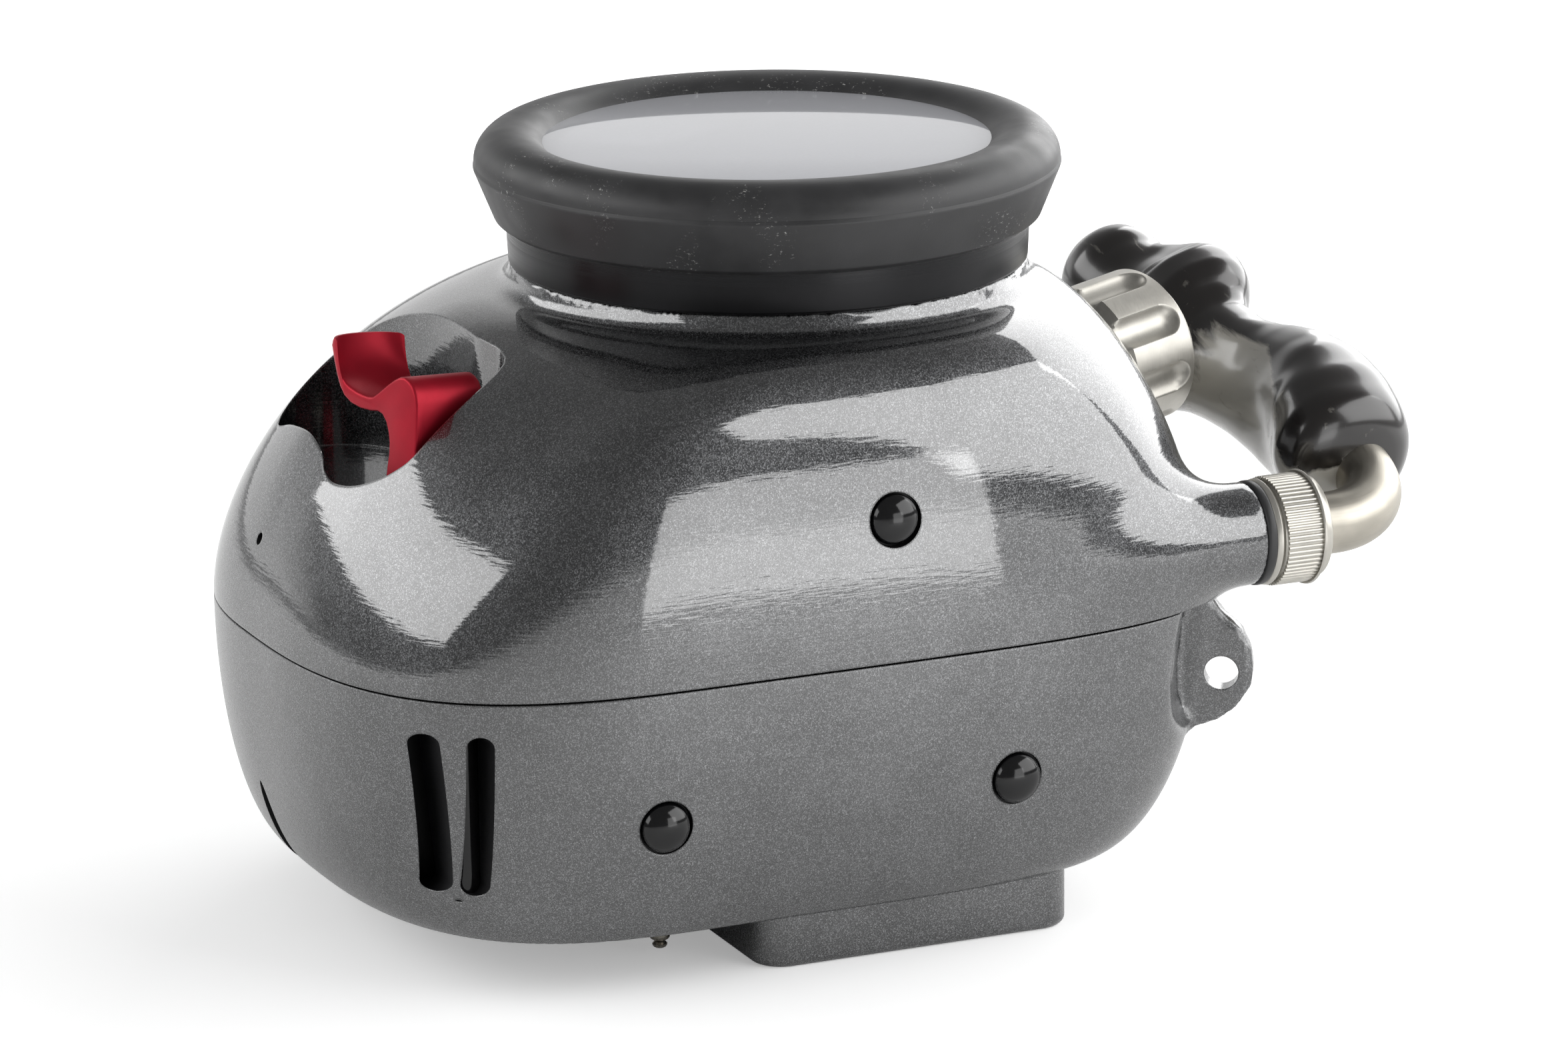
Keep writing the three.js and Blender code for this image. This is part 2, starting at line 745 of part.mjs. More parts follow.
function makeFrontShell() {
  const knobAt = knobFrame();
  const leverAt = leverFrame();
  const knobBoss = rodX(knobBossRadius, -knobBossDepth, -knobStandOff, broadCount).applyMatrix4(knobAt);
  const boss = rodX(bossRadius, bossStart, bossEnd, bossCount).translate(0, handleY, handleZ);
  const nose = rodX(noseRadius, bossEnd - cutOverrun, bossEnd + noseLength, noseCount)
    .translate(0, handleY, handleZ);
  const recessBulk = prism(grown(recessOutline, recessWall), recessFloor - recessWall, neckTop);
  const bossBulk = rodX(bossRadius, bossBoreStart - bossBackWall, bossEnd, barrelCount)
    .translate(0, handleY, handleZ);
  const leverBushSeat = leverRod(leverBushRadius + recessWall, 0, leverBushStart + leverBushLength,
    wideCount)
    .applyMatrix4(leverAt);
  const cavity = cut(join(frontCavity()), recessBulk, bossBulk, leverBushSeat,
    rodX(knobBossRadius, -knobBossDepth, 0, barrelCount).applyMatrix4(knobAt),
    rodX(knobSeatRadius + knobSeatWall, -knobStandOff - knobSeatWall, knobLength, barrelCount)
      .applyMatrix4(knobAt),
    ...screwColumns(partingHeight - cutOverrun, neckTop, columnRadius, screwCount));
  const body = join(frontOuter(), boss, nose, knobBoss).subtract(cavity);
  const pinBore = rodX(knobBushRadius + fitGap, -knobBossDepth - cutOverrun, cutOverrun, barrelCount)
    .applyMatrix4(knobAt);
  const bushBore = leverRod(leverBushRadius + fitGap, leverBushStart - cutOverrun,
    leverBushStart + leverBushLength + cutOverrun, barrelCount).applyMatrix4(leverAt);
  const leverBore = leverRod(leverShaftRadius + 2 * fitGap, 0, leverBushStart, wideCount)
    .applyMatrix4(leverAt);
  const tubeBore = rodX(tubeRadius + fitGap, bossBoreStart, bossEnd + noseLength + cutOverrun, broadCount)
    .translate(0, handleY, handleZ);
  const vent = rodX(ventRadius, -cutOverrun, ventDepth, boltCount)
    .translate(ventX - ventDepth / 2, ventY, ventZ);
  const threads = screwColumns(partingHeight - cutOverrun, screwTop + fitGap, screwRadius + fitGap,
    boltCount);
  const knobSeat = rodX(knobSeatRadius, -knobStandOff, knobLength, bossCount).applyMatrix4(knobAt);
  return toGeometry(cut(body, prism(recessOutline, recessFloor, neckTop), knobSeat, pinBore, bushBore,
    leverBore,
    tubeBore, vent, ...threads, ...footTools(footFrontX, footFrontZ)));
}

function earShape(outline, thickness) {
  const plate = prism(outline, -thickness / 2, thickness / 2).rotateX(Math.PI / 2);
  return plate.rotateZ(earTurnDeg * deg).translate(earX, earY, earZ);
}

function slotTool(x, tiltDeg, near, far) {
  const half = slotWidth / 2;
  const plan = roundedPlan(-half, half, -slotHeight / 2, slotHeight / 2, half * slotEndShare);
  return prism(plan, near, far).rotateX(Math.PI / 2).rotateY(-tiltDeg * deg).translate(x, 0, slotCentreZ);
}

// The pocket is as high as the slots, and its left wall leans with the left slot
function pocketTool() {
  const half = slotHeight / 2;
  const left = leftSlotX - slotWidth / 2 - pocketSide;
  const lean = half * Math.tan(leftSlotTiltDeg * deg);
  const plan = [[left + lean, -half], [pocketRight, -half], [pocketRight, half], [left - lean, half]];
  return prism(plan, -pocketFar, -pocketNear).rotateX(Math.PI / 2).translate(0, 0, slotCentreZ);
}

// The strap bar's seat runs past the slot at both ends
function strapBarHalf() {
  return slotHeight / 2 + strapBarOverlap;
}

function makeRearShell() {
  const outer = loft(rearRings(0, rearBaseHeight, rearRingCount));
  const blockPlan = roundedPlan(-blockLeft, blockRight, -blockNear, blockFar, blockCorner);
  const footPlan = grown(blockPlan, -blockChamfer);
  const chamferFoot = blockChamfer * blockChamferFootShare;
  const block = loft([
    footPlan.map(([x, y]) => [x, y, 0]),
    grown(blockPlan, -chamferFoot).map(([x, y]) => [x, y, chamferFoot]),
    blockPlan.map(([x, y]) => [x, y, blockChamfer]),
    blockPlan.map(([x, y]) => [x, y, rearBaseHeight + wall / 2]),
  ]);
  const pocketBulk = boxBetween(-shellLeft, pocketRight + pocketWall, -shellNear,
    pocketFar + pocketWall, 0, partingHeight);
  const notchEnd = notchReach - shellLeft;
  const notchBulk = boxBetween(-shellLeft, notchEnd + pocketWall, notchY - notchWidth / 2 - pocketWall,
    notchY + notchWidth / 2 + pocketWall, 0, notchTop + pocketWall);
  const pads = [-padX, padX].map((x) => boxBetween(x - padWidth / 2, x + padWidth / 2, -shellNear,
    trayY - trayThickness / 2 - fitGap, padBottom, padTop));
  const cavityRings = rearRings(wall, rearBaseHeight + wall, cavityRingCount);
  const lastRing = cavityRings[cavityRings.length - 1];
  cavityRings.push(lastRing.map(([x, y]) => [x, y, partingHeight + cutOverrun]));
  const cavity = cut(join(loft(cavityRings)), pocketBulk, notchBulk, ...pads,
    ...screwColumns(0, partingHeight - partingGap / 2, columnRadius, screwCount),
    ...buttonPlaces().map(([x, y]) => rodZ(glandRadius + fitGap + glandSeatWall, 0, glandFloor - fitGap,
      shaftCount).translate(x, y, 0)));
  const rabbet = loft([outlineRing(rabbetInset, partingHeight - partingGap / 2 - 2 * sealWire - fitGap),
    outlineRing(rabbetInset, partingHeight + cutOverrun)]);
  const rabbetCore = loft([outlineRing(wall, 0), outlineRing(wall, partingHeight + 2 * cutOverrun)]);
  const groove = cut(join(rabbet), rabbetCore);
  const pane = (width, depth, y, inset, low, high) => prism(roundedPlan(screenCentreX - width / 2 + inset,
    screenCentreX + width / 2 - inset, y - depth / 2 + inset, y + depth / 2 - inset, paneCorner), low,
      high);
  const seatTop = paneRecess + paneThickness + fitGap;
  const through = rearBaseHeight + wall + cutOverrun;
  const body = join(outer, block, earShape(earOutline, earThickness)).subtract(cavity).subtract(groove);
  const tools = [
    pane(screenPaneWidth, screenPaneDepth, screenCentreY, -fitGap, -cutOverrun, seatTop),
    pane(screenPaneWidth, screenPaneDepth, screenCentreY, paneLedge, 0, through),
    pane(eyePaneWidth, eyePaneDepth, eyeCentreY, -fitGap, -cutOverrun, seatTop),
    pane(eyePaneWidth, eyePaneDepth, eyeCentreY, paneLedge, 0, through),
    slotTool(rightSlotX, 0, -pocketFar, shellNear),
    slotTool(leftSlotX, leftSlotTiltDeg, -pocketFar, shellNear),
    pocketTool(),
    boxBetween(-shellLeft - cutOverrun, notchEnd, notchY - notchWidth / 2, notchY + notchWidth / 2, 0,
      notchTop),
    rodZ(strapBarRadius + fitGap, slotCentreZ - strapBarHalf(), slotCentreZ + strapBarHalf(), shaftCount)
      .translate(rightSlotX, strapBarY, 0),
    rodZ(earHoleRadius, -earThickness, earThickness, broadCount)
      .rotateX(Math.PI / 2).rotateZ(earTurnDeg * deg)
      .translate(earX, earY, earZ),
    ...screwColumns(-cutOverrun, screwHeadBase + screwHeadLength + fitGap, screwHeadRadius + fitGap,
      screwCount),
    ...screwColumns(0, partingHeight + cutOverrun, screwRadius + fitGap, boltCount),
    ...footTools(footRearLeftX, footRearZ),
    ...footTools(footRearRightX, footRearZ),
    ...buttonPlaces().map(([x, y]) => rodZ(buttonPinRadius + fitGap, 0,
      rearBaseHeight + wall + 2 * cutOverrun, screwCount)
      .translate(x, y, 0)),
    ...[-padX, padX].map((x) => rodZ(trayBoltRadius + fitGap, 0, trayBoltLength, boltCount)
      .rotateX(Math.PI / 2)
      .translate(x, trayY, traySlotZ)),
  ];
  return toGeometry(cut(body, ...tools));
}

function makePort() {
  const port = new THREE.Group();
  const glassBottom = glassTop - glassThickness;
  const seat = glassBottom - fitGap;
  addPiece('port_glass', turned([[0, glassBottom], [glassRadius, glassBottom], [glassRadius, glassTop],
    [0, glassTop]], portCount), 'glass', port);
  const foot = neckTop + fitGap;
  const groove = portSealWire + fitGap / 2;
  const collarSlope = (collarTopRadius - collarFootRadius) / (bandBottom - foot);
  addPiece('port_collar', turnedRing([
    [collarInner, neckTop - spigotDepth], [spigotBore - fitGap, neckTop - spigotDepth],
      [spigotBore - fitGap, foot],
    [portSealRadius - groove, foot], [portSealRadius - groove, foot + 2 * portSealWire],
    [portSealRadius + groove, foot + 2 * portSealWire], [portSealRadius + groove, foot],
    [collarFootRadius - collarSlope, foot], [collarFootRadius, foot + collarSlope],
    [collarTopRadius, bandBottom], [collarTopRadius, glassTop - fitGap],
    [glassRadius + fitGap, glassTop - fitGap], [glassRadius + fitGap, seat], [collarInner, seat],
  ], portCount), 'blackAnodised', port);
  addPiece('port_seal', closed(new THREE.TorusGeometry(portSealRadius, portSealWire, cordCount, portCount)
    .translate(0, 0, neckTop + fitGap / 2 + portSealWire)), 'rubber', port);
  const bandInner = collarTopRadius + fitGap;
  addPiece('bumper_band', turnedRing([
    [bandInner, bandBottom], [bandLowerRadius - bandCorner, bandBottom],
      [bandLowerRadius, bandBottom + bandCorner],
    [bumperRadius, seamHeight - fitGap / 2], [bandInner, seamHeight - fitGap / 2],
  ], portCount), 'rubber', port);
  addPiece('bumper_ring', turnedRing(bumperProfile(bandInner), portCount), 'rubber', port);
  root.add(port);
}

function bumperProfile(bandInner) {
  const profile = [];
  const base = seamHeight + fitGap / 2;
  const lip = glassTop + fitGap;
  const stop = Math.asin((lip - base) / bumperCrestHeight);
  const stepCount = bumperStepCount;
  for (let i = 0; i <= stepCount; i += 1) {
    const turn = (i / stepCount) * (Math.PI / 2);
    profile.push([bumperCrestRadius + bumperOuterHalf * Math.cos(turn),
      base + bumperCrestHeight * Math.sin(turn)]);
  }
  for (let i = 1; i <= stepCount; i += 1) {
    const turn = Math.PI / 2 + (i / stepCount) * (Math.PI / 2 - stop);
    profile.push([bumperCrestRadius + bumperInnerHalf * Math.cos(turn),
      base + bumperCrestHeight * Math.sin(turn)]);
  }
  profile.push([bandInner, lip], [bandInner, base]);
  return profile;
}

function makeLever() {
  const lever = new THREE.Group();
  lever.applyMatrix4(leverFrame());
  const bar = new THREE.ExtrudeGeometry(new THREE.Shape(leverOutlineShares.map(([y,
    z]) => new THREE.Vector2(leverReach * y, leverReach * z))),
    { depth: leverWidth, bevelEnabled: false }).rotateX(Math.PI / 2).rotateZ(Math.PI / 2);
  const hub = leverRod(leverHubRadius, 0, leverWidth, hubCount);
  const bore = leverRod(leverShaftRadius + fitGap, -cutOverrun, leverWidth + cutOverrun, shaftCount);
  addPiece('shutter_lever', toGeometry(cut(join(bar, hub), bore)), 'redAnodised', lever);
  const groove = leverSealWire * sealGrooveShare;
  const sealAt = leverBushStart + leverBushLength / 2;
  const shaft = turned([[0, fitGap], [leverShaftRadius, fitGap], [leverShaftRadius, sealAt - groove],
    [leverShaftRadius - groove, sealAt - groove], [leverShaftRadius - groove, sealAt + groove],
    [leverShaftRadius, sealAt + groove], [leverShaftRadius, leverShaftLength], [0, leverShaftLength]],
      shaftCount);
  const toPivot = (g) => g.rotateY(Math.PI / 2).translate(0, leverPivotAcross, -leverPivotDown);
  addPiece('lever_shaft', toPivot(shaft), 'steel', lever);
  addPiece('lever_seal', toPivot(closed(new THREE.TorusGeometry(leverShaftRadius - leverSealWire / 2,
    leverSealWire, hexCount, barrelCount)).translate(0, 0, sealAt)), 'rubber', lever);
  const bushEnd = leverBushStart + leverBushLength;
  const bushInner = leverShaftRadius + 2 * fitGap;
  addPiece('lever_bush', toPivot(turnedRing([[bushInner, leverBushStart], [leverBushRadius, leverBushStart],
    [leverBushRadius, bushEnd], [bushInner, bushEnd]], barrelCount)), 'steel', lever);
  addPiece('lever_spring', toPivot(coil(leverShaftRadius + 2 * leverSpringWire, leverSpringWire / 2,
    leverSpringStart, leverSpringStart + leverSpringLength, leverSpringTurnCount)), 'steel', lever);
  const arm = [[-leverArmNeck, leverArmShoulder], [-leverArmHalf, 0],
    [-leverArmToe, leverArmToe - leverArmLength],
    [leverArmReach - leverArmHeel, -leverArmLength], [leverArmReach, leverArmHeel - leverArmLength],
    [leverArmReach / 2, leverArmWaist - leverArmLength], [leverArmHalf, 0],
      [leverArmNeck, leverArmShoulder]];
  const plate = new THREE.ExtrudeGeometry(new THREE.Shape(arm.map(([y, z]) => new THREE.Vector2(y, z))),
    { depth: leverArmThickness, bevelEnabled: false }).rotateX(Math.PI / 2).rotateZ(Math.PI / 2)
    .translate(leverArmStart, leverPivotAcross, -leverPivotDown);
  addPiece('lever_arm', toGeometry(cut(join(plate), leverRod(leverShaftRadius + fitGap,
    leverArmStart - cutOverrun,
    leverArmStart + leverArmThickness + cutOverrun, shaftCount))), 'blackAnodised', lever);
  root.add(lever);
}

function makeKnob() {
  const knob = new THREE.Group();
  knob.applyMatrix4(knobFrame());
  const toAxis = (g) => g.rotateY(Math.PI / 2);
  const body = turned([[0, 0], [knobRadius - knobChamfer, 0], [knobRadius, knobChamfer],
    [knobRadius, knobLength - knobChamfer], [knobRadius - knobChamfer, knobLength], [0, knobLength]],
      knobCount);
  const tools = [rodZ(knobShaftRadius + fitGap, -cutOverrun, knobShaftOutside + fitGap, shaftCount)];
  for (let i = 0; i < knobFluteCount; i += 1) {
    const turn = knobFluteTurnDeg * deg + (i / knobFluteCount) * 2 * Math.PI;
    const at = knobRadius + knobFluteRadius - knobFluteDepth;
    const place = (g) => g.translate(at * Math.cos(turn), at * Math.sin(turn), 0);
    tools.push(place(rodZ(knobFluteRadius, -cutOverrun, knobFluteLength, fluteCount)));
    tools.push(place(new THREE.SphereGeometry(knobFluteRadius * fluteEndShare, fluteCount, fluteCount / 2)
      .translate(0, 0, knobFluteLength)));
  }
  addPiece('control_knob', toAxis(toGeometry(cut(join(body), ...tools))), 'silver', knob);
  addPiece('knob_shaft', toAxis(turned([[0, -knobShaftInside], [knobShaftRadius, -knobShaftInside],
    [knobShaftRadius, knobShaftOutside], [0, knobShaftOutside]], shaftCount)), 'steel', knob);
  const inner = knobShaftRadius + fitGap;
  const flangeLow = -knobStandOff + fitGap;
  addPiece('knob_bush', toAxis(turnedRing([[inner, -knobBossDepth], [knobBushRadius, -knobBossDepth],
    [knobBushRadius, flangeLow], [knobBushFlange, flangeLow],
      [knobBushFlange, flangeLow + knobBushFlangeThickness],
    [inner, flangeLow + knobBushFlangeThickness]], barrelCount)), 'steel', knob);
  const teeth = [];
  for (let i = 0; i < 4 * pinionToothCount; i += 1) {
    const turn = ((i + 0.5) / (4 * pinionToothCount)) * 2 * Math.PI;
    const reach = i % 4 < 2 ? pinionRadius : pinionRadius - pinionToothDepth;
    teeth.push([reach * Math.cos(turn), reach * Math.sin(turn)]);
  }
  const pinionLow = -knobShaftInside + fitGap;
  addPiece('knob_pinion', toAxis(toGeometry(cut(join(prism(teeth, pinionLow, pinionLow + pinionThickness)),
    rodZ(inner, pinionLow - cutOverrun, pinionLow + pinionThickness + cutOverrun, shaftCount)))),
      'polymer', knob);
  root.add(knob);
}

// Centre line of the handle tube: straight out of the boss, one tight bend, then into the grip
function tubePoints() {
  const rise = tubeRiseDeg * deg;
  const point = (x, run) => new THREE.Vector3(x, handleY + run * Math.cos(rise),
    handleZ + run * Math.sin(rise));
  const points = tubeRunShares.map((share) => point(bossBoreStart + fitGap
    + share * (tubeBendStart - bossBoreStart - fitGap), 0));
  const stepCount = bendStepCount;
  for (let i = 0; i <= stepCount; i += 1) {
    const turn = (i / stepCount) * (Math.PI / 2);
    points.push(point(tubeBendStart + tubeBendRadius * Math.sin(turn),
      tubeBendRadius * (1 - Math.cos(turn))));
  }
  for (const share of tubeTailShares) points.push(point(tubeBendStart + tubeBendRadius,
    tubeBendRadius + share * tubeTail));
  return points;
}

function gripRings() {
  const along = new THREE.Vector3(Math.sin(gripLeanDeg * deg), Math.cos(gripRiseDeg * deg),
    Math.sin(gripRiseDeg * deg)).normalize();
  const side = new THREE.Vector3(1, 0, 0).addScaledVector(along, -along.x).normalize();
  const up = new THREE.Vector3().crossVectors(side, along);
  return gripProfileShares.map(([share, radiusShare]) => {
    const centre = new THREE.Vector3(gripX, gripNearY, gripNearZ).addScaledVector(along, share * gripLength)
      .addScaledVector(up, gripBow * Math.sin(share * Math.PI));
    const ring = [];
    for (let i = 0; i < gripSideCount; i += 1) {
      const turn = (i / gripSideCount) * 2 * Math.PI;
      const reach = radiusShare * gripRadius;
      ring.push(centre.clone().addScaledVector(side, reach * gripWidthShare * Math.cos(turn))
        .addScaledVector(up, reach * Math.sin(turn)).toArray());
    }
    return ring;
  });
}

function makeHandle() {
  const place = (g) => g.rotateY(Math.PI / 2).translate(0, handleY, handleZ);
  const sealLow = bossEnd + fitGap;
  addPiece('boss_seal', place(turnedRing([[noseRadius + fitGap, sealLow], [shoulderSealRadius, sealLow],
    [shoulderSealRadius, sealLow + shoulderSealThickness],
      [noseRadius + fitGap, sealLow + shoulderSealThickness]],
  noseCount)), 'rubber');
  const nutLow = sealLow + shoulderSealThickness + fitGap;
  const nutHigh = nutLow + nutLength;
  const band = nutRadius - nutKnurlDepth;
  const knurl = [];
  for (let i = 0; i < 2 * nutKnurlCount; i += 1) {
    const turn = (i / (2 * nutKnurlCount)) * 2 * Math.PI;
    const reach = i % 2 ? nutRadius : nutRadius - nutKnurlDepth;
    knurl.push([reach * Math.cos(turn), reach * Math.sin(turn)]);
  }
  const nutBody = join(prism(knurl, nutLow + nutBand, nutHigh - nutBand),
    rodZ(band, nutLow, nutLow + nutBand, bossCount),
    rodZ(band, nutHigh - nutBand, nutHigh, bossCount));
  const nut = cut(nutBody, rodZ(noseRadius + fitGap, nutLow - cutOverrun, bossEnd + noseLength + fitGap,
    broadCount),
    rodZ(tubeRadius + fitGap, nutLow, nutHigh + cutOverrun, broadCount));
  addPiece('clamp_nut', place(toGeometry(nut)), 'silver');
  addPiece('handle_tube', tubeAlong(tubePoints(), tubeRadius, screwCount, tubeStepCount), 'steel');
  const bore = tubeAlong(tubePoints(), tubeRadius + fitGap, screwCount, tubeStepCount);
  addPiece('hand_grip', toGeometry(cut(join(loft(gripRings())), bore)), 'horn');
}

function makeFoot(name, x, z) {
  const stem = -footStemLength;
  const dome = footDomeShares.map(([out, up]) => [footRadius * out, footRise * up]);
  const foot = turned([[0, stem], [footStemRadius, stem], [footStemRadius, fitGap], [footRadius, fitGap],
    ...dome],
    wideCount);
  addPiece(name, foot.rotateX(Math.PI / 2).translate(x, footPlaneY, z), 'footRubber');
}

function buttonPlaces() {
  return Array.from({ length: buttonCount }, (_, i) => [buttonX, buttonFirstY + i * buttonPitch]);
}

function makeButtons() {
  buttonPlaces().forEach(([x, y], i) => {
    const tipEnd = buttonTipStart + buttonTipLength;
    const flange = glandFloor + fitGap;
    const pin = turned([[0, buttonTipStart], [buttonTipRadius, buttonTipStart], [buttonTipRadius, tipEnd],
      [buttonPinRadius, tipEnd], [buttonPinRadius, flange], [buttonFlangeRadius, flange],
      [buttonFlangeRadius, flange + buttonFlangeThickness],
        [buttonPinRadius, flange + buttonFlangeThickness],
      [buttonPinRadius, buttonTop], [0, buttonTop]], screwCount);
    addPiece(`button_pin_${i + 1}`, pin.translate(x, y, 0), 'steel');
    const roof = glandTop - glandRoof;
    const inner = buttonFlangeRadius + fitGap;
    const hole = buttonPinRadius + fitGap;
    const gland = turnedRing([[inner, glandFloor], [glandRadius, glandFloor], [glandRadius, glandTop],
      [hole, glandTop], [hole, roof], [inner, roof]], shaftCount);
    addPiece(`button_gland_${i + 1}`, gland.translate(x, y, 0), 'steel');
    const spring = coil(buttonPinRadius + 2 * buttonSpringWire * springFitShare, buttonSpringWire / 2,
      flange + buttonFlangeThickness + fitGap, roof - fitGap, buttonSpringTurnCount);
    addPiece(`button_spring_${i + 1}`, spring.translate(x, y, 0), 'steel');
  });
}

function makeScrews() {
  const screw = () => {
    const head = turned([[0, screwHeadBase], [screwHeadRadius, screwHeadBase],
      [screwHeadRadius, screwHeadBase + screwHeadLength], [screwRadius, screwHeadBase + screwHeadLength],
      [screwRadius, screwTop], [0, screwTop]], screwCount);
    return cut(join(head), rodZ(screwSocketRadius, screwHeadBase - cutOverrun,
      screwHeadBase + screwSocketDepth, hexCount));
  };
  screwPlaces.forEach(([x, y], i) => {
    addPiece(`closure_screw_${i + 1}`, toGeometry(screw().translate([x, y, 0])), 'steel');
  });
}

function makeTray() {
  const half = trayThickness / 2;
  const plate = boxBetween(trayLeft, trayRight, trayY - half, trayY + half, trayBottom, trayTop);
  const toY = (g, x) => g.rotateX(Math.PI / 2).translate(x, trayY, traySlotZ);
  const tray = cut(join(plate), toY(rodZ(trayScrewRadius + fitGap, -trayThickness, trayThickness,
    shaftCount), traySlotX),
    ...[-padX, padX].map((x) => toY(rodZ(trayBoltRadius + fitGap, -trayThickness, trayThickness,
      boltCount), x)));
  addPiece('camera_tray', toGeometry(tray), 'blackAnodised');
  const headLow = half + fitGap;
  const headHigh = headLow + trayScrewHeadLength;
  const screw = turned([[0, -trayScrewReach], [trayScrewRadius, -trayScrewReach],
    [trayScrewRadius, headLow],
    [trayScrewHead, headLow], [trayScrewHead, headHigh], [0, headHigh]], barrelCount);
  addPiece('tray_screw', toY(screw, traySlotX), 'steel');
  const bolt = turned([[0, -half - fitGap - trayBoltRadius],
    [trayBoltHead, -half - fitGap - trayBoltRadius],
    [trayBoltHead, -half - fitGap], [trayBoltRadius, -half - fitGap],
      [trayBoltRadius, trayBoltLength - fitGap],
    [0, trayBoltLength - fitGap]], boltCount);
  addPiece('tray_bolt_left', toY(bolt.clone(), -padX), 'steel');
  addPiece('tray_bolt_right', toY(bolt.clone(), padX), 'steel');
}

function makeWindows() {
  const pane = (name, width, depth, y) => addPiece(name, closed(prism(roundedPlan(screenCentreX - width / 2,
    screenCentreX + width / 2, y - depth / 2, y + depth / 2, paneCorner), paneRecess,
      paneRecess + paneThickness)),
  'glass');
  pane('screen_window', screenPaneWidth, screenPaneDepth, screenCentreY);
  pane('eyepiece_window', eyePaneWidth, eyePaneDepth, eyeCentreY);
}

addPiece('front_shell', makeFrontShell(), 'paint');
addPiece('rear_shell', makeRearShell(), 'paint');
const sealHeight = partingHeight - partingGap / 2 - sealWire - fitGap / 2;
addPiece('main_seal', closedCord(outlineRing(sealInset, sealHeight), sealWire, cordCount), 'rubber');
const strapBarEnd = strapBarHalf() - fitGap;
addPiece('strap_bar', closed(rodZ(strapBarRadius, slotCentreZ - strapBarEnd, slotCentreZ + strapBarEnd,
  shaftCount)
  .translate(rightSlotX, strapBarY, 0)), 'blackAnodised');
makePort();
makeLever();
makeKnob();
makeHandle();
makeFoot('foot_front', footFrontX, footFrontZ);
makeFoot('foot_rear_left', footRearLeftX, footRearZ);
makeFoot('foot_rear_right', footRearRightX, footRearZ);
makeButtons();
makeScrews();
makeTray();
makeWindows();

export default root;
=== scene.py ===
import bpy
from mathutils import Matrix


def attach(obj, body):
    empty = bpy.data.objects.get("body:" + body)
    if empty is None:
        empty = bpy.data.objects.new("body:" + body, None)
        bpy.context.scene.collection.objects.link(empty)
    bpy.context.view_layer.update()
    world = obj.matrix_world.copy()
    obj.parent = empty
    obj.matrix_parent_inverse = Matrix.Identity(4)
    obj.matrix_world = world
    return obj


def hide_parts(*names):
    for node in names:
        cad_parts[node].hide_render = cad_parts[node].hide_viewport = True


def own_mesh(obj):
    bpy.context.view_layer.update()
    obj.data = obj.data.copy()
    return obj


bl_info = {
    "name": "Underwater Camera Housing",
    "version": (1, 0, 0),
    "blender": (4, 5, 0),
    "location": "3D View > Sidebar > Housing",
    "description": "Dresses the packed diving housing with its castings, port, controls and grip",
    "category": "Object",
}

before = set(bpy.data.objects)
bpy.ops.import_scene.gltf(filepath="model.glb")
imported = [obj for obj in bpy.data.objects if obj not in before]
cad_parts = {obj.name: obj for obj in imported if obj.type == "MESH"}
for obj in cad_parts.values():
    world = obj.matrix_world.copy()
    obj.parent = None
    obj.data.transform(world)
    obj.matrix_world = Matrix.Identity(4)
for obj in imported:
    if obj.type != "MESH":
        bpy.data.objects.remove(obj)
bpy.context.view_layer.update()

import math

import bmesh
import bpy
import numpy as np
import openvdb
from bpy.props import FloatProperty, FloatVectorProperty, IntProperty, PointerProperty
from mathutils import Euler, Matrix, Quaternion, Vector

MM = 0.001


# Colours


def linear(hex_colour):
    """An sRGB hex colour as the linear red, green, blue and alpha that Blender works in."""
    parts = [int(hex_colour[i:i + 2], 16) / 255 for i in (1, 3, 5)]
    return [p / 12.92 if p <= 0.04045 else ((p + 0.055) / 1.055) ** 2.4 for p in parts] + [1.0]


def length(name, millimetres, description):
    return FloatProperty(name=name, description=description, default=millimetres * MM, unit="LENGTH",
                         precision=5)


def colour(name, hex_colour, description):
    return FloatVectorProperty(name=name, description=description, default=linear(hex_colour), size=4,
                               subtype="COLOR", min=0.0, max=1.0)


class CastingSizes(bpy.types.PropertyGroup):
    left: length("Left reach", 134.8, "From the port axis to the left end of the castings")
    right: length("Right reach", 89.9, "From the port axis to the right side of the castings")
    near: length("Near reach", 90.9, "From the port axis to the side with the feet")
    far: length("Far reach", 83.86, "From the port axis to the side away from the feet")
    wall: length("Wall", 6.5, "Thickness of the cast walls")
    parting: length("Parting height", 75.0, "Height of the joint between the two castings")
    gap: length("Parting gap", 0.5, "Gap between the two castings")
    neck: length("Neck radius", 61.9, "Radius of the round neck that carries the port")
    neck_top: length("Neck top", 151.9, "Height of the neck's rim")
    crown: length("Crown", 147.0, "Height at which the dome meets the neck")
    base: length("Rear face height", 14.0, "Height of the rear casting's flat face above the block's foot")
    grid: length("Grid", 1.15, "Spacing of the grid that the castings are drawn on")
    root: length("Boss root", 10.0, "Width of the fillet where the handle boss leaves the dome")


class PortSizes(bpy.types.PropertyGroup):
    bumper: length("Bumper radius", 70.0, "Radius of the rubber bumper at its seam")
    seam: length("Seam height", 176.0, "Height of the seam between bumper ring and band")
    crest: length("Crest radius", 61.7, "Radius of the bumper's highest line")
    glass: length("Glass radius", 57.0, "Radius of the port glass")
    glass_top: length("Glass height", 180.0, "Height of the glass's outer face")


class ControlSizes(bpy.types.PropertyGroup):
    knob: length("Knob radius", 19.0, "Radius of the side knob")
    knob_length: length("Knob length", 23.0, "Length of the side knob")
    flutes: IntProperty(name="Flutes", description="Finger grooves round the knob", default=8, min=3)
    lever_width: length("Lever width", 20.0, "Width of the shutter lever")
    foot: length("Foot radius", 6.0, "Radius of the round feet")


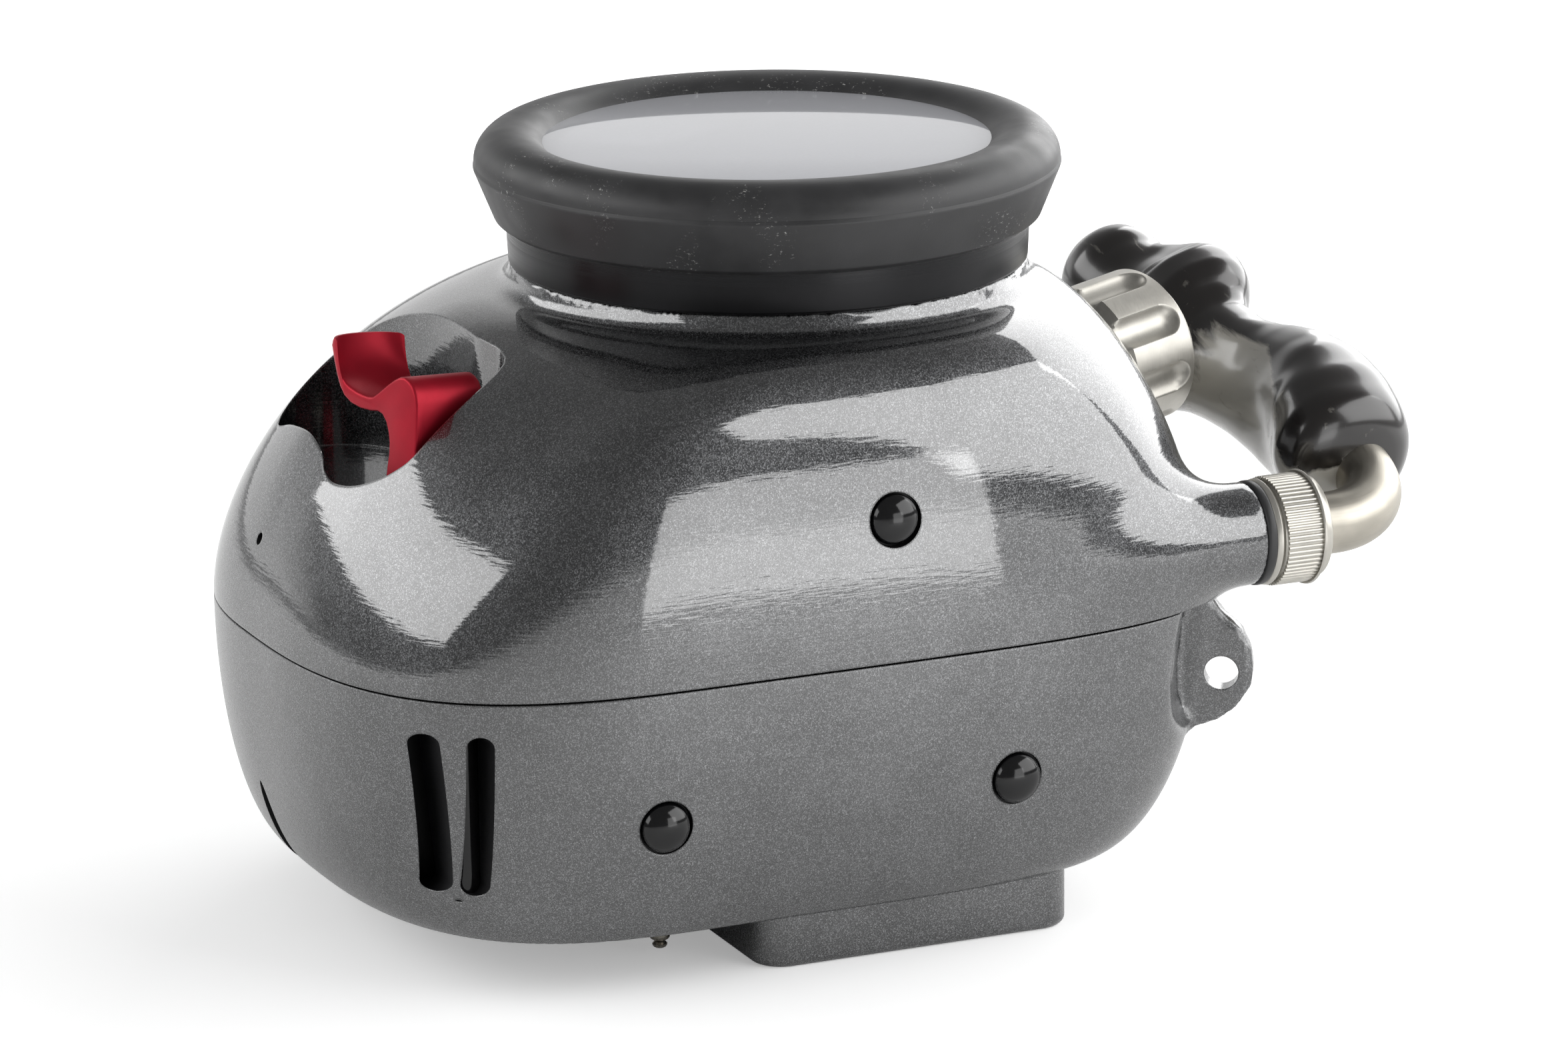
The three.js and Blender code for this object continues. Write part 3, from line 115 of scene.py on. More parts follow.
class HandleSizes(bpy.types.PropertyGroup):
    tube: length("Tube radius", 7.5, "Radius of the grip's steel tube")
    bend: length("Bend radius", 17.0, "Radius of the tube's bend along its middle")
    nut: length("Nut radius", 13.2, "Radius over the clamp nut's ribs")
    nut_length: length("Nut length", 14.9, "Length of the clamp nut")
    ribs: IntProperty(name="Ribs", description="Ribs round the clamp nut", default=64, min=8)
    grip_radius: length("Grip radius", 20.5, "Largest radius of the hand grip")


class Finishes(bpy.types.PropertyGroup):
    lacquer: colour("Lacquer", "#1E1F21", "Ground colour of the metallic lacquer")
    flake: colour("Flake", "#919294", "Colour of the aluminium flakes in the lacquer")
    black_anodised: colour("Black anodised", "#1B1B1D", "Anodised layer of the port collar")
    red_anodised: colour("Red anodised", "#B5122B", "Anodised layer of the shutter lever")
    silver: colour("Clear anodised", "#CCC9C1", "Turned aluminium under a clear anodised layer")
    steel: colour("Steel", "#BFBAAF", "Stainless steel of the tube, shafts and screws")
    rubber: colour("Rubber", "#2A2A2B", "Moulded rubber of bumper and seals")
    scuff: colour("Scuff", "#B9B9B6", "Pale marks rubbed on the rubber")
    foot: colour("Foot", "#0B0B0C", "Polished rubber of the round feet")
    horn_dark: colour("Dark horn", "#15110F", "Dark parts of the horn")
    # The pale horn colour also paints the reflection on the grip's carved face.
    horn_pale: colour("Pale horn", "#A7A49C", "Pale parts of the horn")
    # Pale glass tint: partly the glass's own tint, partly a painted reflection of the bright backdrop.
    glass: colour("Glass", "#D4D5DA", "Tint of the port glass")
    polymer: colour("Polymer", "#D8D2C2", "Moulded pinion")
    floor: colour("Floor", "#F4F4F4", "Studio floor")


def sizes():
    return bpy.context.scene.housing_castings


# Meshes


def raw_mesh(name, points, faces, merge=0.0):
    """A mesh that faces outward, from points in millimetres, with points closer than merge made one."""
    mesh = bpy.data.meshes.new(name)
    mesh.from_pydata((np.asarray(points, float) * MM).tolist(), [], [list(map(int, f)) for f in faces])
    shape = bmesh.new()
    shape.from_mesh(mesh)
    if merge:
        bmesh.ops.remove_doubles(shape, verts=shape.verts, dist=merge * MM)
    bmesh.ops.recalc_face_normals(shape, faces=shape.faces)
    shape.to_mesh(mesh)
    shape.free()
    return mesh


def new_piece(name, points, faces, material, sharp_deg=38.0):
    """A closed, smooth-shaded mesh object from points in millimetres."""
    return finish_mesh(name, raw_mesh(name, points, faces, 0.001), material, sharp_deg)


def shown(name, mesh, sharp_deg):
    """An object of a mesh, smooth but for edges sharper than an angle."""
    mesh.shade_smooth()
    mesh.set_sharp_from_angle(angle=math.radians(sharp_deg))
    obj = bpy.data.objects.new(name, mesh)
    bpy.context.scene.collection.objects.link(obj)
    return obj


def finish_mesh(name, mesh, material, sharp_deg=38.0):
    mesh.materials.clear()
    mesh.materials.append(material)
    return shown(name, mesh, sharp_deg)


def ride(obj, body, slot, *nodes):
    """The piece moves with a body and stands for its CAD nodes; slot is not used."""
    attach(obj, body)
    if nodes:
        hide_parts(*nodes)
    return obj


def filleted(profile, steps=4):
    """A polyline whose corners are rounded: each entry is (radius, height, fillet)."""
    points = []
    count = len(profile)
    for i, (r, z, fillet) in enumerate(profile):
        here = Vector((r, z))
        before = Vector(profile[(i - 1) % count][:2])
        after = Vector(profile[(i + 1) % count][:2])
        if fillet <= 0 or i in (0, count - 1) and profile[0][:2] != profile[-1][:2] and r == 0:
            points.append(tuple(here))
            continue
        to_before, to_after = (before - here).normalized(), (after - here).normalized()
        corner = to_before.angle(to_after)
        back = fillet / math.tan(corner / 2)
        start, end = here + to_before * back, here + to_after * back
        middle = here + (to_before + to_after).normalized() * (fillet / math.sin(corner / 2))
        a, b = start - middle, end - middle
        for k in range(steps + 1):
            points.append(tuple(middle + a.slerp(b, k / steps, a.lerp(b, k / steps))))
    return points


def turned_mesh(profile, count=96, ring=False):
    """Points and faces of a piece turned about Z, from an outline of (radius, height)."""
    turns = np.linspace(0, 2 * math.pi, count, endpoint=False)
    points, faces, rows = [], [], []
    for r, z in profile:
        if r < 1e-6:
            rows.append([len(points)] * count)
            points.append((0, 0, z))
        else:
            rows.append(list(range(len(points), len(points) + count)))
            points += [(r * math.cos(t), r * math.sin(t), z) for t in turns]
    if ring:
        rows.append(rows[0])
    for low, high in zip(rows, rows[1:]):
        for i in range(count):
            j = (i + 1) % count
            face = list(dict.fromkeys((low[i], low[j], high[j], high[i])))
            if len(face) > 2:
                faces.append(face)
    return np.array(points), faces


def in_metres(matrix):
    """A move given in millimetres, for a mesh in metres."""
    return Matrix.Scale(MM, 4) @ matrix @ Matrix.Scale(1 / MM, 4)


def turned_piece(name, profile, count, kind, body, slot, node, at=None, ring=False, sharp_deg=38.0):
    """A piece turned from an outline, finished, put in its place and riding on its body."""
    points, faces = turned_mesh(profile, count, ring)
    piece = new_piece(name, placed(points, at) if at else points, faces, finish_of(kind), sharp_deg)
    return ride(piece, body, slot, node)


def placed(points, matrix):
    return points @ np.array(matrix.to_3x3()).T + np.array(matrix.translation)


def lofted_mesh(rings):
    """Points and faces of a skin through rings of equal count, closed by a fan at each end."""
    rings = np.asarray(rings, float)
    rows, count = rings.shape[:2]
    points = rings.reshape(-1, 3)
    low = (np.arange(rows - 1)[:, None] * count + np.arange(count)[None]).ravel()
    near = (np.arange(rows - 1)[:, None] * count + (np.arange(count)[None] + 1) % count).ravel()
    quads = np.stack([low, near, near + count, low + count], 1)
    hubs = np.stack([rings[0].mean(0), rings[-1].mean(0)])
    around = np.arange(count)
    fan_low = np.stack([np.full(count, len(points)), (around + 1) % count, around], 1)
    last = (rows - 1) * count
    fan_high = np.stack([np.full(count, len(points) + 1), last + around, last + (around + 1) % count], 1)
    return np.vstack([points, hubs]), quads, np.vstack([fan_low, fan_high])


def swept_mesh(path, radii, count=32):
    """A round tube along a path of points in millimetres, closed at both ends."""
    path = [Vector(p) for p in path]
    beyond = [path[0], *path, path[-1]]
    tangents = [(after - before).normalized() for before, after in zip(beyond, beyond[2:])]
    side = tangents[0].orthogonal().normalized()
    rings = []
    for here, along, radius in zip(path, tangents, radii):
        side = (side - along * side.dot(along)).normalized()
        up = along.cross(side)
        rings.append([here + (side * math.cos(t) + up * math.sin(t)) * radius
                      for t in np.linspace(0, 2 * math.pi, count, endpoint=False)])
    points, quads, fans = lofted_mesh(rings)
    return points, list(quads) + list(fans)


# Distance fields, for the castings

# Distances are kept this many cells off the surface.
BAND_CELLS = 11.0

def soft_min(a, b, width):
    if width <= 0:
        return np.minimum(a, b)
    near = np.maximum(width - np.abs(a - b), 0) / width
    return np.minimum(a, b) - near * near * width * 0.25


def soft_max(a, b, width):
    return -soft_min(-a, -b, width)


def rounded_pair(a, b, radius):
    """Distance to a form from its distances along two crossing directions."""
    a, b = a + radius, b + radius
    outside = np.sqrt(np.maximum(a, 0) ** 2 + np.maximum(b, 0) ** 2)
    return np.minimum(np.maximum(a, b), 0) + outside - radius


class Casting:
    """A grid of distances to a casting's surface, worked feature by feature."""

    def __init__(self, low, high, step):
        self.step = step
        self.origin = np.floor(np.array(low) / step).astype(int)
        self.count = np.ceil(np.array(high) / step).astype(int) - self.origin + 1
        self.values = None

    def axes(self, low=None, high=None):
        whole_low = self.origin * self.step
        low = whole_low if low is None else np.array(low, float)
        high = whole_low + self.count * self.step if high is None else np.array(high, float)
        starts = np.clip(np.floor(low / self.step).astype(int) - self.origin, 0, self.count - 1)
        ends = np.clip(np.ceil(high / self.step).astype(int) - self.origin + 1, 1, self.count)
        window = tuple(slice(a, b) for a, b in zip(starts, ends))
        x, y, z = [(np.arange(w.start, w.stop) + o) * self.step for w, o in zip(window, self.origin)]
        return window, x[:, None, None], y[None, :, None], z[None, None, :]

    def loft(self, rings):
        points, quads, fans = lofted_mesh(rings)
        skin = openvdb.FloatGrid.createLevelSetFromPolygons(
            points.astype(np.float32), triangles=fans.astype(np.uint32), quads=quads.astype(np.uint32),
            transform=openvdb.createLinearTransform(self.step), halfWidth=BAND_CELLS)
        values = np.zeros(self.count, np.float32)
        skin.copyToArray(values, ijk=tuple(int(v) for v in self.origin))
        return values

    def work(self, make, low, high, how, width=0.0):
        """Joins to the casting, or cuts from it, the form that make(x, y, z) gives, inside a box."""
        window, x, y, z = self.axes(low, high)
        form = make(x, y, z)
        here = self.values[window]
        self.values[window] = soft_min(here, form, width) if how == "join" else soft_max(here, -form, width)

    def mesh(self):
        grid = openvdb.FloatGrid(BAND_CELLS * self.step)
        grid.transform = openvdb.createLinearTransform(self.step)
        values = np.ascontiguousarray(self.values, np.float32)
        grid.copyFromArray(values, ijk=tuple(int(v) for v in self.origin))
        points, quads = grid.convertToQuads(0.0)
        points = self.settle(points.astype(float))
        a, b, c, d = (points[quads[:, k]] for k in range(4))
        volume = np.einsum("ij,ij->", a, np.cross(b, c)) + np.einsum("ij,ij->", a, np.cross(c, d))
        return points, quads if volume > 0 else quads[:, ::-1]

    def settle(self, points):
        """Moves each point along the slope onto the zero surface."""
        for _ in range(2):
            value, slope = self.sample(points)
            size = np.maximum((slope ** 2).sum(1), 0.3)
            shift = slope * (value / size)[:, None]
            reach = np.linalg.norm(shift, axis=1)
            limit = 0.3 * self.step
            points = points - shift * np.minimum(1, limit / np.maximum(reach, 1e-9))[:, None]
        return points

    def sample(self, points):
        """The distance at each point, and its slope."""
        place = points / self.step - self.origin
        base = np.clip(np.floor(place).astype(int), 0, self.count - 2)
        fx, fy, fz = (place - base).T
        corners = [(i, j, k) for i in (0, 1) for j in (0, 1) for k in (0, 1)]
        cell = np.stack([self.values[tuple((base + corner).T)] for corner in corners]).reshape(2, 2, 2, -1)

        def blend(pair, share):
            return pair[0] * (1 - share) + pair[1] * share

        flat = blend(cell, fx)
        line = blend(flat, fy)
        slope = [blend(blend(cell[1] - cell[0], fy), fz), blend(flat[1] - flat[0], fz), line[1] - line[0]]
        return blend(line, fz), np.stack(slope, 1) / self.step


def between(along, low, high):
    """Distance along a direction to the span from low to high."""
    return np.abs(along - (low + high) / 2) - (high - low) / 2


def rod(origin, axis, radius, low, high, rounding=0.0):
    """Distance to a round rod from low to high along an axis through origin."""
    ox, oy, oz = origin
    ax, ay, az = Vector(axis).normalized()

    def form(x, y, z):
        px, py, pz = x - ox, y - oy, z - oz
        along = px * ax + py * ay + pz * az
        radial = np.sqrt(np.maximum(px * px + py * py + pz * pz - along * along, 0))
        return rounded_pair(radial - radius, between(along, low, high), rounding)

    return form


def outline_distance(u, v, outline):
    """Signed distance in a plane to a closed outline."""
    u, v = np.broadcast_arrays(u, v)
    best = np.full(u.shape, 1e9)
    inside = np.zeros(u.shape, bool)
    for (ax, ay), (bx, by) in zip(outline, outline[1:] + outline[:1]):
        ex, ey = bx - ax, by - ay
        px, py = u - ax, v - ay
        t = np.clip((px * ex + py * ey) / (ex * ex + ey * ey), 0, 1)
        best = np.minimum(best, (px - ex * t) ** 2 + (py - ey * t) ** 2)
        crosses = ((ay > v) != (by > v)) & (u < ex * (v - ay) / (ey if ey else 1e-9) + ax)
        inside ^= crosses
    return np.where(inside, -1, 1) * np.sqrt(best)


def plate(outline, low, high, rounding=0.0):
    """Distance to a straight-walled upright form over an outline."""
    def form(x, y, z):
        return rounded_pair(outline_distance(x, y, outline), between(z, low, high), rounding)

    return form


def round_rectangle(x0, x1, y0, y1, corner, steps=5):
    points = []
    for cx, cy, quarter in ((x1 - corner, y1 - corner, 0), (x0 + corner, y1 - corner, 1),
                            (x0 + corner, y0 + corner, 2), (x1 - corner, y0 + corner, 3)):
        for k in range(steps + 1):
            turn = (quarter + k / steps) * math.pi / 2
            points.append((cx + corner * math.cos(turn), cy + corner * math.sin(turn)))
    return points


# The castings' own forms

CORNER_X = -50.0
NEAR_LEFT, NEAR_RIGHT, FAR_LEFT, FAR_RIGHT = 3.0, 5.2, 2.4, 4.0
DOME_POWER, NEAR_SIDE_POWER, NEAR_SIDE_REACH = 1.74, 2.9, 8
REAR_INSETS = (18.0, 28.0, 9.0, 9.0)
SKIN_COUNT = 420
RECESS = [(-81, -31.9), (-80, -12), (-79.8, 6), (-81.5, 20), (-86, 33), (-95, 41), (-106, 41), (-113.5, 33),
          (-114.4, 20), (-114.8, 7), (-116.4, -5), (-118.4, -12), (-118.8, -20), (-116.4, -29.6),
          (-110.8, -37.4), (-103, -38.8)]
SCREWS = [(-92, 48), (-88, -60), (56, 53), (56, -62)]
BUTTONS = [(-53.5, -55), (-53.5, -28), (-53.5, -1)]
FRONT_FOOT = (-7.6, 109.0)
REAR_FEET = {"foot_rear_left": (-65.6, 42.6), "foot_rear_right": (23.5, 42.6)}
FOOT_PLANE = -87.6
FRONT_BOX = ((-138, -95, 66), (111, 88, 156))
REAR_BOX = ((-138, -94, 8), (101, 87, 84))
NECK_BORE, BOSS_RADIUS, BOSS_END = 54.0, 12.4, 93
# Radii of the pillars round the closure screws and buttons, and of the holes in them
PILLAR, BUTTON_PILLAR, SCREW_HOLE, BUTTON_HOLE = 7, 7.3, 2.8, 2.1
# Fillets inside the castings, and the softness of their inner rims
CAVITY_FILLET, RIM_EDGE = 2.0, 0.5
EAR_HALF_THICKNESS = 3
AXIS_X = Matrix.Rotation(math.pi / 2, 4, "Y")
BOSS_AT = (0, -70, 89)
BOSS_TURN = Matrix.Translation(BOSS_AT) @ AXIS_X
EAR_BEARING = math.radians(30)


def leaning(place, tilt_deg, bearing_deg):
    """A place with its X axis tilted and then turned about Z."""
    turn = Euler((0, math.radians(tilt_deg), math.radians(bearing_deg)), "XYZ")
    return Matrix.Translation(place) @ turn.to_matrix().to_4x4()


KNOB_AT = leaning((84, 3, 114.5), -6, 17)
LEVER_AT = leaning((-105.4, -30, 140.1), 6, 17)
LEVER_PIVOT = LEVER_AT @ Vector((0, -1.6, -24.6))


def power_point(angle, left, right, near, far):
    c, s = np.cos(angle), np.sin(angle)
    power = np.where(c < 0, np.where(s < 0, NEAR_LEFT, FAR_LEFT), np.where(s < 0, NEAR_RIGHT, FAR_RIGHT))
    reach_x = np.where(c < 0, left + CORNER_X, right - CORNER_X)
    reach_y = np.where(s < 0, near, far)
    x = CORNER_X + reach_x * np.sign(c) * np.abs(c) ** (2 / power)
    return np.stack([x, reach_y * np.sign(s) * np.abs(s) ** (2 / power)], -1)


def outline(inset, insets=(0, 0, 0, 0), count=SKIN_COUNT):
    """The castings' plan, drawn in by inset and by insets on the left, right, near and far sides."""
    s = sizes()
    angle = np.linspace(0, 2 * math.pi, count, endpoint=False)
    reaches = [reach / MM - extra - inset for reach, extra in zip((s.left, s.right, s.near, s.far), insets)]
    return angle, power_point(angle, *reaches)


def dome_rings(inset, crown, circle, rows=120):
    angle, rim = outline(inset)
    foot = (sizes().parting + sizes().gap / 2) / MM
    nearness = np.where(np.sin(angle) < 0, np.abs(np.sin(angle)) ** NEAR_SIDE_REACH, 0)
    power = DOME_POWER + (NEAR_SIDE_POWER - DOME_POWER) * nearness
    top = np.stack([np.cos(angle), np.sin(angle)], -1) * circle
    rings = []
    for row in np.linspace(0, 1, rows):
        share = 1 - row ** 1.15
        out = np.sin(share * math.pi / 2) ** (2 / power)
        down = 1 - np.cos(share * math.pi / 2) ** (2 / power)
        flat = top + (rim - top) * out[:, None]
        rings.append(np.column_stack([flat, crown + (foot - crown) * down]))
    return [rings[0] - np.array([0, 0, 7.0])] + rings


def rear_rings(inset, base, rows=90):
    _, rim = outline(inset)
    _, flat_edge = outline(inset, REAR_INSETS)
    top = (sizes().parting - sizes().gap / 2) / MM
    rings = []
    for share in np.linspace(0, 1, rows):
        out, up = math.sin(share * math.pi / 2), 1 - math.cos(share * math.pi / 2)
        flat = flat_edge + (rim - flat_edge) * out
        rings.append(np.column_stack([flat, np.full(len(flat), base + (top - base) * up)]))
    return rings + [rings[-1] + np.array([0, 0, 7.0])]


def along_knob(radius, low, high, rounding=0.0):
    return rod(KNOB_AT.translation, KNOB_AT.to_3x3() @ Vector((1, 0, 0)), radius, low, high, rounding)


def along_lever(radius, low, high, rounding=0.0):
    return rod(LEVER_PIVOT, LEVER_AT.to_3x3() @ Vector((1, 0, 0)), radius, low, high, rounding)


def upright(place, radius, low, high, rounding=0.0):
    return rod((*place, 0), (0, 0, 1), radius, low, high, rounding)


def along_boss(radius, low, high, rounding=0.0):
    return rod(BOSS_AT, (1, 0, 0), radius, low, high, rounding)


def bar(origin, axis, radius, low, high, count=72):
    """A round bar along an axis through origin, as points and faces."""
    points, faces = turned_mesh([(0, low), (radius, low), (radius, high), (0, high)], count)
    turn = Vector((0, 0, 1)).rotation_difference(Vector(axis)).to_matrix().to_4x4()
    return placed(points, Matrix.Translation(Vector(origin)) @ turn), faces


def knob_bar(radius, low, high):
    return bar(KNOB_AT.translation, KNOB_AT.to_3x3() @ Vector((1, 0, 0)), radius, low, high)


def lever_bar(radius, low, high):
    return bar(LEVER_PIVOT, LEVER_AT.to_3x3() @ Vector((1, 0, 0)), radius, low, high)


def block_of(outline_points, low, high, plane="xy"):
    """A straight-walled solid over an outline, which lies in a plane of the frame."""
    order = {"xy": (0, 1, 2), "xz": (0, 2, 1), "yz": (1, 2, 0)}[plane]
    count = len(outline_points)
    points = np.zeros((2 * count, 3))
    for k, level in enumerate((low, high)):
        points[k * count:(k + 1) * count, order[0]] = [u for u, _ in outline_points]
        points[k * count:(k + 1) * count, order[1]] = [v for _, v in outline_points]
        points[k * count:(k + 1) * count, order[2]] = level
    walls = [[i, (i + 1) % count, count + (i + 1) % count, count + i] for i in range(count)]
    return points, walls + [list(range(count))[::-1], list(range(count, 2 * count))]


def softened(points, steps=6):
    """A closed outline bent smoothly through its points."""
    smooth = []
    count = len(points)
    for i in range(count):
        a, b, c, d = (np.array(points[(i + k) % count], float) for k in (-1, 0, 1, 2))
        for t in np.arange(steps) / steps:
            smooth.append(tuple(0.5 * (2 * b + (c - a) * t + (2 * a - 5 * b + 4 * c - d) * t * t
                                       + (3 * b - a - 3 * c + d) * t ** 3)))
    return smooth


def worked(name, skin, joins, cuts, material):
    """A casting's skin with solids joined to it and cut from it: each is (points, faces, material)."""
    body = bpy.data.objects.new(name, raw_mesh(name, *skin))
    body.data.materials.append(material)
    bpy.context.scene.collection.objects.link(body)
    tools = []
    for operation, solids in (("UNION", joins), ("DIFFERENCE", cuts)):
        for points, faces, finish in solids:
            tool = bpy.data.objects.new("tool", raw_mesh("tool", points, faces))
            tool.data.materials.append(finish)
            bpy.context.scene.collection.objects.link(tool)
            step = body.modifiers.new("work", "BOOLEAN")
            step.operation, step.solver, step.object = operation, "MANIFOLD", tool
            step.material_mode = "TRANSFER"
            tools.append(tool)
    mesh = bpy.data.meshes.new_from_object(body.evaluated_get(bpy.context.evaluated_depsgraph_get()))
    for obj in [body, *tools]:
        bpy.data.objects.remove(obj)
    if len(mesh.polygons) < len(skin[1]) / 2:
        raise RuntimeError(f"{name} lost its skin")
    mesh.name = name
    return shown(name, mesh, 32)


def foot_socket(x, z, paint):
    return [(*bar((x, FOOT_PLANE, z), (0, -1, 0), 6.5, 0, 12), paint),
            (*bar((x, FOOT_PLANE, z), (0, -1, 0), 2.4, -3.4, 2, 24), paint)]


def front_skin():
    """The front casting's skin: dome, neck, boss and knob pad, hollowed but for what its fittings need."""
    s = sizes()
    casting = Casting(*FRONT_BOX, s.grid / MM * (1.0))
    crown, neck, top, wall = s.crown / MM, s.neck / MM, s.neck_top / MM, s.wall / MM
    casting.values = casting.loft(dome_rings(0, crown, neck))
    casting.work(upright((0, 0), neck, 100, top, 0.4), *FRONT_BOX, "join", 5.0)
    casting.work(along_boss(BOSS_RADIUS, 44, BOSS_END, 0.4), (30, -95, 71), (111, -40, 120), "join",
                 s.root / MM)
    casting.work(along_knob(12, -26, -2.6, 0.5), (40, -30, 90), (100, 40, 140), "join", 3.0)

    cavity = casting.loft(dome_rings(wall, crown - wall, NECK_BORE))
    place = casting.axes()[1:]
    cavity = np.minimum(cavity, upright((0, 0), NECK_BORE, 100, top + 10)(*place))
    recess_floor, recess_wall = 101, 5.0
    around_recess = np.maximum(outline_distance(*place[:2], RECESS) - recess_wall, recess_floor - place[2])
    bulks = [along_boss(BOSS_RADIUS, 63, BOSS_END), along_lever(12, 0, 34), along_knob(12, -26, 0),
             along_knob(25.6, -7.6, 23), *[upright(screw, PILLAR, 50, 160) for screw in SCREWS]]
    for bulk in [around_recess, *[form(*place) for form in bulks]]:
        cavity = soft_max(cavity, -bulk, CAVITY_FILLET)
    casting.values = soft_max(casting.values, -cavity, RIM_EDGE)
    return casting.mesh()


def front_casting(paint, bore_and_shade):
    s = sizes()
    foot = (s.parting + s.gap / 2) / MM
    cuts = [(*block_of(round_rectangle(-150, 120, -100, 100, 5), 50, foot), paint),
            (*block_of(softened(RECESS), 106, 200), paint), (*knob_bar(20.6, -2.6, 27), paint),
            (*knob_bar(7.3, -30, 4), bore_and_shade), (*lever_bar(7.3, 21.6, 36), bore_and_shade), (*lever_bar(4.6, 0, 24), bore_and_shade),
            (*bar(BOSS_AT, (1, 0, 0), 7.8, 71, 112), bore_and_shade),
            (*bar((-129.6, 2.9, 96.2), (1, 0, 0), 1.4, -6, 3, 32), bore_and_shade)]
    cuts += [(*bar((sx, sy, 0), (0, 0, 1), SCREW_HOLE, 60, 87.3, 24), bore_and_shade) for sx, sy in SCREWS]
    nose = turned_mesh(filleted([(0, 90, 0), (10, 90, 0), (10, 107, 0.6), (0, 107, 0)]), 72)
    joins = [(placed(nose[0], BOSS_TURN), nose[1], bore_and_shade)]
    return worked("front_casting", front_skin(), joins, cuts + foot_socket(*FRONT_FOOT, bore_and_shade), paint)


EAR = [(-2.3, 18.7), (0.6, 14.6), (4.8, 11), (7.1, 6), (7.7, 1.3), (7.1, -3.4), (3.4, -8.9), (-0.9, -12),
       (-6.5, -13.9), (-9.7, -15.6), (-11.9, -18), (-17, -18), (-17, 19.6), (-3, 19.6)]
EAR_SCOOP = [(-7.6, 24), (-9.6, 12), (-10.6, 3), (-10.4, -5), (-8.6, -10.5), (-4.5, -14.5),
             (16, -14.5), (16, 24)]
EAR_AT = (89.1, -65.0, 54.3)


def ear_axes(x, y, z):
    """Coordinates along the ear, up it, and out of its near face."""
    px, py, pz = x - EAR_AT[0], y - EAR_AT[1], z - EAR_AT[2]
    c, s = math.cos(EAR_BEARING), math.sin(EAR_BEARING)
    return px * c - py * s, pz + 0 * px, -px * s - py * c


def ear_plate(outline_points, low, high, rounding):
    def form(x, y, z):
        along, up, out = ear_axes(x, y, z)
        return rounded_pair(outline_distance(along, up, outline_points), between(out, low, high), rounding)

    return form


def strap_slot(centre_x, tilt_deg):
    half, height = 2.8, 39.5
    c, s = math.cos(math.radians(tilt_deg)), math.sin(math.radians(tilt_deg))
    outline_points = [(centre_x + u * c - v * s, 47.4 + v * c + u * s)
                      for u, v in round_rectangle(-half, half, -height / 2, height / 2, half * 0.98, 10)]
    return block_of(outline_points, -100, -55, "xz")


def rear_skin():
    """The rear casting's skin: a bowl with the lanyard ear, hollowed but for what its fittings need."""
    s = sizes()
    casting = Casting(*REAR_BOX, s.grid / MM * (1.0))
    base, wall = s.base / MM, s.wall / MM
    top = (s.parting - s.gap / 2) / MM
    casting.values = casting.loft(rear_rings(0, base))
    ear, scoop = EAR_HALF_THICKNESS, 30
    casting.work(ear_plate(EAR, -ear, ear, 1.2), (60, -94, 30), (101, -40, 78), "join", 3.0)
    casting.work(ear_plate(EAR_SCOOP, ear, scoop, 0), (55, -94, 34), (101, -50, 78), "cut", 1.2)

    cavity = casting.loft(rear_rings(wall, base + wall))
    place = casting.axes()[1:]
    # Solid round the strap slots, the slit and the two rear feet
    boxes = [((-141, -97.6, -91, -48.4), 0, 90), ((-135, -105, -3.5, 11.5), 0, 40),
             ((-45, -31, -91, -73.3), 30, 64), ((31, 45, -91, -73.3), 30, 64)]
    bulks = [plate(round_rectangle(*sides, 2, 2), low, high, 1) for sides, low, high in boxes]
    bulks += [upright(screw, PILLAR, -10, 100) for screw in SCREWS]
    bulks += [upright(button, BUTTON_PILLAR, -10, 22.5) for button in BUTTONS]
    for bulk in bulks:
        cavity = soft_max(cavity, -bulk(*place), CAVITY_FILLET)
    casting.values = soft_max(casting.values, -cavity, RIM_EDGE)
    rabbet_inset, rabbet_depth, above = 3.1, 2.9, 22.9
    rabbet = outline(rabbet_inset, count=120)[1].tolist()
    groove = plate(rabbet, top - rabbet_depth, top + above)(*place)
    casting.values = soft_max(casting.values, -groove, 0.3)
    return casting.mesh()


def foot_block():
    """The flat block under the rear face, with rounded corners and a rounded foot."""
    rounding, corner, top = 2, 8, 19
    x0, x1, y0, y1 = -37, 44, -78, 56
    turns = np.linspace(0.3, math.pi / 2, 7)
    curve = [(rounding * (1 - math.sin(t)), rounding * (1 - math.cos(t))) for t in turns]
    rise = [(2.4, 0), *curve, (0, top)]
    rings = [[(x, y, z) for x, y in round_rectangle(x0 + inset, x1 - inset, y0 + inset, y1 - inset,
                                                    corner - inset, 12)] for inset, z in rise]
    points, quads, fans = lofted_mesh(rings)
    return points, list(quads) + list(fans)


